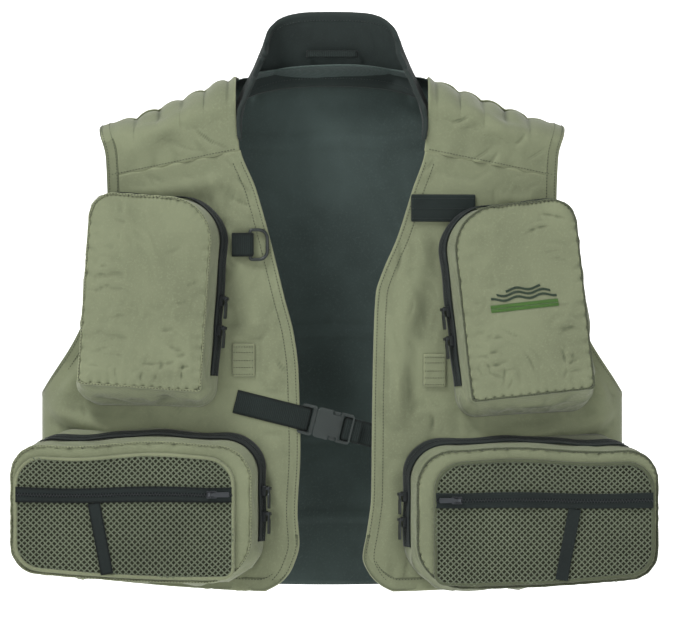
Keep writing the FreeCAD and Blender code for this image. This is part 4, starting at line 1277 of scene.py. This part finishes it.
def edge_binding(shell, corners, tag):
    """A narrow folded edge that holds the net down on the pocket's face."""
    outline = round_outline(corners, arc=14, line=40)
    outline = resampled(np.vstack([outline, outline[:1]]), 260)[:-1]
    normal = outline_normals(outline)
    wave = 0.25 * np.sin(np.arange(len(outline)) / 1.7)
    profile = ((1.9, 0.0), (1.8, 1.9), (1.1, 2.6), (0.0, 2.8), (-1.1, 2.6), (-1.9, 1.9), (-2.1, 0.0))
    loop = np.stack([lifted(outline + normal * across, shell.place,
                            shell.face_y - 1.2 - 1.7 * rise - wave * (rise > 0))
                     for across, rise in profile], axis=1)
    piece = make_object("net_edge_" + tag, *swept(loop, wrap_path=True), cloth_binding)


def face_tape(shell, name, start, end, width, with_coil):
    """A woven tape laid over the net, straight across the pocket's face."""
    start, end = np.array(start), np.array(end)
    length = np.linalg.norm(end - start)
    count = int(length / TAPE_STEP)
    along = (end - start) / length
    share = np.linspace(0, 1, count)[:, None, None]
    across = np.linspace(-0.5, 0.5, 9)[None, :, None] * width
    flat = start + (end - start) * share + np.array([-along[1], along[0]]) * across
    wobble = 0.5 * np.sin(np.arange(count) / 6.0)[:, None]
    y = net_y(shell, flat) * 0.7 + (shell.face_y - 4.6) * 0.3 - 1.6 - wobble
    normal = np.tile(np.array([0.0, -1.0, 0.0]), (count, 9, 1))
    tape(name, lifted(flat, shell.place, y), normal, with_coil)


def pockets():
    rows = []
    for side, tag in ((-1, "r"), (1, "l")):
        rows += [chest(side, tag), cargo(side, tag)]
    stitches("pocket_stitches", rows, thread_olive)


# ---- Collar ----

COLLAR_THICK = 5.0

def collar_edge(half, back, z, fall, count, power):
    """Points along one edge of the collar, from the wearer's right front to the left."""
    front_half, front_y = 99.0, -HALF_DEPTH + 1.0
    path = [(-front_half + (front_half - half) * t, front_y * (1 - t)) for t in np.linspace(0, 1, 14)]
    for t in np.linspace(0, math.pi, 80)[1:-1]:
        c, n = math.cos(t), math.sin(t)
        path.append((-half * math.copysign(abs(c) ** (2 / power), c), back * n ** (2 / power)))
    path += [(half + (front_half - half) * t, front_y * t) for t in np.linspace(0, 1, 14)]
    path = resampled(np.array(path), count)
    return np.column_stack([path, z - fall * (back - path[:, 1])])


def collar():
    rows, cols = 22, 150
    low = collar_edge(104.0, 47.0, -32.0, 0.60, cols, 2.2)
    top = collar_edge(72.0, 38.0, 44.0, 1.10, cols, 3.2)
    share = np.linspace(0, 1, rows)[:, None, None]
    points = low + (top - low) * share
    outward = side_sign(grid_normals(points), points + np.array([0, HALF_DEPTH, 0]))
    normal = grid_normals(points) * outward
    lap = np.linspace(0, 300, cols)[None, :]
    height = np.linspace(0, 60, rows)[:, None]
    bulge = 1.8 * np.sin(np.pi * share[..., 0]) + 0.9 * crumple(lap + 0 * height, height + 0 * lap, 30.0, 91)
    points = points + normal * bulge[..., None]
    piece = cloth_piece("collar_band", points, collar_cloth, COLLAR_THICK, outward)
    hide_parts("collar")
    found = []
    for k in (rows - 3, 2):
        found.append(stitch_row(points[k] - normal[k] * COLLAR_THICK, -normal[k]))
        found.append(stitch_row(points[k], normal[k]))
    stitches("collar_stitches", found, thread_slate)


def hanger():
    """A narrow tape inside the collar, standing off in the middle."""
    low, high = cad_box("hanger_loop")
    low, high = low - MIDDLE, high - MIDDLE
    half, front, z = high[0], low[1] + 0.8, (low[2] + high[2]) / 2
    path = [(-half + 0.8, high[1] - 1.5, z), (-half + 1.5, (front + high[1]) / 2, z), (-half + 5, front, z),
            (0, front, z), (half - 5, front, z), (half - 1.5, (front + high[1]) / 2, z),
            (half - 0.8, high[1] - 1.5, z)]
    path = smooth_path(path, 60)
    piece = make_object("hanger_tape", *ribbon(path, np.array([0, 0, 1.0]), 7.5, 1.5), collar_cloth)
    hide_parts("hanger_loop")


def ribbon(path, across, width, thickness, pitch=2.0, depth=0.24):
    """A flat woven tape along a path, ribbed across its faces, with rolled edges."""
    path = resampled(path, int(path_length(path) / pitch * 4))
    normal = unit(np.cross(np.gradient(path, axis=0), across))
    share = np.linspace(-1, 1, 15)
    edge = np.sqrt(1 - ((np.abs(share) - 0.9) / 0.1).clip(0, 1) ** 2)
    edge = edge + 0.25 * np.exp(-((np.abs(share) - 0.86) / 0.05) ** 2)
    rib = depth * np.sin(np.arange(len(path)) * math.pi / 2)[:, None]
    loop = []
    for way in (1, -1):
        for s, e in list(zip(share, edge))[::way]:
            lift = way * (thickness / 2 * (0.25 + 0.75 * e) + rib * (abs(s) < 0.85))
            loop.append(path + across * (s * width / 2) + normal * lift)
    return swept(np.stack(loop, axis=1))


# ---- Strap, buckle and small things ----

STRAP_SLOPE = math.radians(14.0)
STRAP_WIDTH, STRAP_THICK = 25.0, 1.6


ALONG_STRAP = np.array([math.cos(STRAP_SLOPE), 0, -math.sin(STRAP_SLOPE)])
ACROSS_STRAP = np.array([math.sin(STRAP_SLOPE), 0, math.cos(STRAP_SLOPE)])
BUCKLE_AT = np.array([-9.4, -57.9, -394.0])
BAR_FOLD = 3.1              # webbing's middle to the middle of the buckle bar it goes round


def webbing_cut(node):
    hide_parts(node)


def strap(name, node, bar, end, depth):
    """Webbing from its sewn end along the front, round a buckle bar and back under or over itself."""
    turn = 1 if end > bar else -1
    face = math.copysign(1, depth)
    path = []
    for u in end + (bar - end) * np.linspace(0, 1, 30):
        point = BUCKLE_AT + ALONG_STRAP * u
        near = np.clip(1 - abs(u - bar) / 14.0, 0, 1)
        y = surface_y(point[None])[0] + depth
        point[1] = y * (1 - near) + (BUCKLE_AT[1] + face * BAR_FOLD) * near
        path.append(point)
    for t in np.linspace(0, math.pi, 12)[1:]:
        point = BUCKLE_AT + ALONG_STRAP * (bar - turn * BAR_FOLD * math.sin(t))
        point[1] = BUCKLE_AT[1] + face * BAR_FOLD * math.cos(t)
        path.append(point)
    for t in np.linspace(0, 1, 10)[1:]:
        point = BUCKLE_AT + ALONG_STRAP * (bar + turn * 16 * t)
        point[1] = BUCKLE_AT[1] - face * (BAR_FOLD - 0.6 * t)
        path.append(point)
    path = smooth_path(path, 150)
    piece = make_object(name, *ribbon(path, ACROSS_STRAP, STRAP_WIDTH, STRAP_THICK), cloth_webbing)
    webbing_cut(node)


def straps():
    strap("strap_webbing_right", "strap_right", -17.75, -95.0, -1.0)
    strap("strap_webbing_left", "strap_left", 24.5, 85.0, 4.4)


def patch_of(x0, x1, z0, z1, cols=16):
    """A small grid on the torso's front."""
    b, a = unit_grid(24, cols)
    points = np.stack([x0 + (x1 - x0) * a, 0 * a, z0 + (z1 - z0) * b], axis=-1)
    points[..., 1] = surface_y(points, 2.6)
    return points


def small_cloth(name, node, points, material, rows_at):
    """A sewn tab with rounded edges and stitch rows across it."""
    outward = side_sign(grid_normals(points), points)
    points[..., 1] -= 0.35 * crumple(points[..., 0], points[..., 2], 14.0, len(name) + 7)
    piece = cloth_piece(name, points, material, 2.0, outward)
    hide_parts(node)
    normals = grid_normals(points) * outward
    found = []
    for share in rows_at:
        k = int(share * (points.shape[0] - 1))
        found.append(stitch_row(points[k], normals[k], pitch=2.6, length=1.9, radius=0.36))
    return found


def tabs():
    olive_rows = []
    for side, tag, out, up in ((-1, "r", 93.0, -327.5), (1, "l", 108.0, -338.5)):
        x0, x1 = sorted((side * (out - 11), side * (out + 11)))
        points = patch_of(x0, x1, up - 16.5, up + 16.5)
        olive_rows += small_cloth("tab_cloth_" + tag, "utility_tab_" + tag, points, cloth_binding,
                                  rows_at=(0.08, 0.3, 0.52, 0.74, 0.92))
    points = patch_of(84.0, 150.0, -181.5, -154.5, cols=30)
    dark_rows = small_cloth("strip_cloth", "accessory_strip", points, cloth_webbing,
                            rows_at=(0.1, 0.5, 0.9))
    stitches("tab_stitches", olive_rows, thread_olive)
    stitches("strip_stitches", dark_rows, thread_slate)


def ring_tab():
    """Webbing folded round the D-ring's bar and sewn flat beside it."""
    low, high = cad_box("d_ring")
    low, high = low - MIDDLE, high - MIDDLE
    bar_x, z = low[0] + 1.75, (low[2] + high[2]) / 2
    y = (low[1] + high[1]) / 2
    path = [(bar_x - 19, surface_y(np.array([[bar_x - 19, 0, z]]))[0] - 2.4, z),
            (bar_x - 9, y - 2.6, z), (bar_x - 2, y - 2.9, z)]
    path += [(bar_x + 2.9 * math.sin(t), y - 2.9 * math.cos(t), z) for t in np.linspace(0, math.pi, 8)]
    path += [(bar_x - 6, y + 2.9, z), (bar_x - 18, surface_y(np.array([[bar_x - 18, 0, z]]))[0] - 0.9, z)]
    path = smooth_path(path, 70)
    piece = make_object("ring_webbing", *ribbon(path, np.array([0, 0, 1.0]), STRAP_WIDTH, 1.5), cloth_webbing)
    webbing_cut("d_ring_tab")


# ---- Emblem ----

def depth_on(tree, point):
    """Depth of a piece's front under a point, by a ray from the front."""
    start = (np.array([point[0], -200.0, point[2]]) + MIDDLE) * MM
    hit = tree.ray_cast(Vector(start), Vector((0, 1, 0)))[0]
    return hit[1] / MM - MIDDLE[1]


def emblem():
    """A plain embroidered mark: three waves over a green bar."""
    place = place_of(1, *CHEST_PLACE[1], CHEST_TILT[1])
    cloth = bpy.data.objects["chest_cloth_l"].data
    tree = BVHTree.FromPolygons([v.co for v in cloth.vertices], [p.vertices for p in cloth.polygons])
    parts = {"bar": [], "waves": []}
    middle = np.array([-1.0, 1.0])

    def thread(kind, a, b):
        ends = lifted(middle + np.array([a, b]), place, 0.0)
        ends[:, 1] = [depth_on(tree, end) - 0.45 for end in ends]
        parts[kind].append(capsule(ends[0], ends[1], 0.38, np.array([0.0, -1.0, 0.0])))

    for u in np.arange(-35.0, 35.0, 0.55):
        thread("bar", (u, -12.0), (u + 0.4, -7.8))
        thread("bar", (u + 0.2, -8.1), (u + 0.6, -3.6))
    for start, reach in ((1.2, 34.0), (6.0, 28.0), (10.4, 18.0)):
        for u in np.arange(-reach, reach, 0.55):
            w = start + 1.5 * math.sin(u / 4.2)
            thread("waves", (u, w - 1.5), (u + 0.5, w + 1.5))
    stitches("emblem_bar", parts["bar"], thread_green)
    waves = make_object("emblem_waves", *merged(parts["waves"]), thread_dark)
    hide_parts("emblem")


# ---- Carried-over hardware ----

def hardware():
    """Softens the edges of the CAD hardware and gives it its plastics and metal."""
    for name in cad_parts:
        metal = name.startswith(("slider_", "pull_"))
        if not metal and not name.startswith("buckle_") and name != "d_ring":
            continue
        obj = bpy.data.objects[name]
        for slot in obj.material_slots:
            slot.material = metal_dark if metal else buckle_plastic
        bevel = obj.modifiers.new("soft_edges", "BEVEL")
        bevel.width = 0.25 * MM if metal else 0.5 * MM
        bevel.segments = 2
        bevel.limit_method = "ANGLE"


# ---- Stage ----

def backdrop():
    """A pale floor that curves up to a wall far behind the vest, glowing evenly beyond it."""
    floor_z, back_y, radius = -700.0, 6500.0, 1500.0
    profile = [(-6000.0, floor_z), (back_y - radius, floor_z)]
    for k in range(1, 25):
        angle = math.pi / 2 * k / 24
        profile.append((back_y - radius + radius * math.sin(angle),
                        floor_z + radius - radius * math.cos(angle)))
    profile.append((back_y, 7000.0))
    grid = np.array([[(x, y, z) for y, z in profile] for x in (-6000.0, 6000.0)])
    material, tree, shader = node_tree("backdrop")
    shader.inputs["Base Color"].default_value = (0.93, 0.93, 0.93, 1)
    shader.inputs["Roughness"].default_value = 0.9
    shader.inputs["Emission Color"].default_value = (1, 1, 1, 1)
    place = tree.nodes.new("ShaderNodeNewGeometry")
    split = tree.nodes.new("ShaderNodeSeparateXYZ")
    glow = tree.nodes.new("ShaderNodeMapRange")
    for name, value in (("From Min", 0.3), ("From Max", 0.9), ("To Min", 0.30), ("To Max", 1.0)):
        glow.inputs[name].default_value = value
    link(tree, place.outputs["Position"], split.inputs[0])
    link(tree, split.outputs["Y"], glow.inputs["Value"])
    link(tree, glow.outputs["Result"], shader.inputs["Emission Strength"])
    mesh = bpy.data.meshes.new("backdrop")
    mesh.from_pydata((grid.reshape(-1, 3) * MM).tolist(), [], grid_faces(2, len(profile)).tolist())
    obj = bpy.data.objects.new("backdrop", mesh)
    bpy.context.scene.collection.objects.link(obj)
    mesh.materials.append(material)


def lamp(name, place, target, size, power):
    """A soft rectangular light aimed at a point."""
    data = bpy.data.lights.new(name, "AREA")
    data.shape = "RECTANGLE"
    data.size, data.size_y = size
    data.energy = power
    obj = bpy.data.objects.new(name, data)
    bpy.context.scene.collection.objects.link(obj)
    obj.location = [c * MM for c in place]
    obj.rotation_euler = (Vector(target) - Vector(place)).to_track_quat("-Z", "Y").to_euler()


def studio():
    world = bpy.data.worlds.new("studio")
    bpy.context.scene.world = world
    world.use_nodes = True
    world.node_tree.nodes["Background"].inputs["Color"].default_value = (1, 1, 1, 1)
    world.node_tree.nodes["Background"].inputs["Strength"].default_value = 0.20
    lamp("key", (-1300, -1300, 1900), (0, 0, -260), (0.8, 0.8), 50)
    lamp("fill_left", (2000, -2400, 100), (0, 0, -300), (1.6, 1.6), 22)
    lamp("fill_right", (-1800, -2400, 0), (0, 0, -300), (1.6, 1.6), 14)
    lamp("top", (200, -900, 2000), (0, -60, -300), (1.2, 0.9), 8)
    bpy.context.scene.view_settings.view_transform = "Standard"


FRAME_WIDTH = 714.0         # what the picture spans at the vest's front
FRAME_CENTRE = (8.4, -279.8)


def camera():
    """Straight on to the front, far away, framing the vest as a catalogue picture does."""
    data = bpy.data.cameras.new("camera")
    data.sensor_width = 36.0
    data.lens = 200.0
    distance = FRAME_WIDTH * data.lens / data.sensor_width
    obj = bpy.data.objects.new("camera", data)
    x, z = FRAME_CENTRE
    obj.location = (x * MM, (MIDDLE[1] - HALF_DEPTH - distance) * MM, z * MM)
    obj.rotation_euler = (math.pi / 2, 0, 0)
    bpy.context.scene.collection.objects.link(obj)
    bpy.context.scene.camera = obj


for build in (body, pockets, collar, hanger, straps, tabs, ring_tab, emblem, hardware, backdrop,
              studio, camera):
    build()
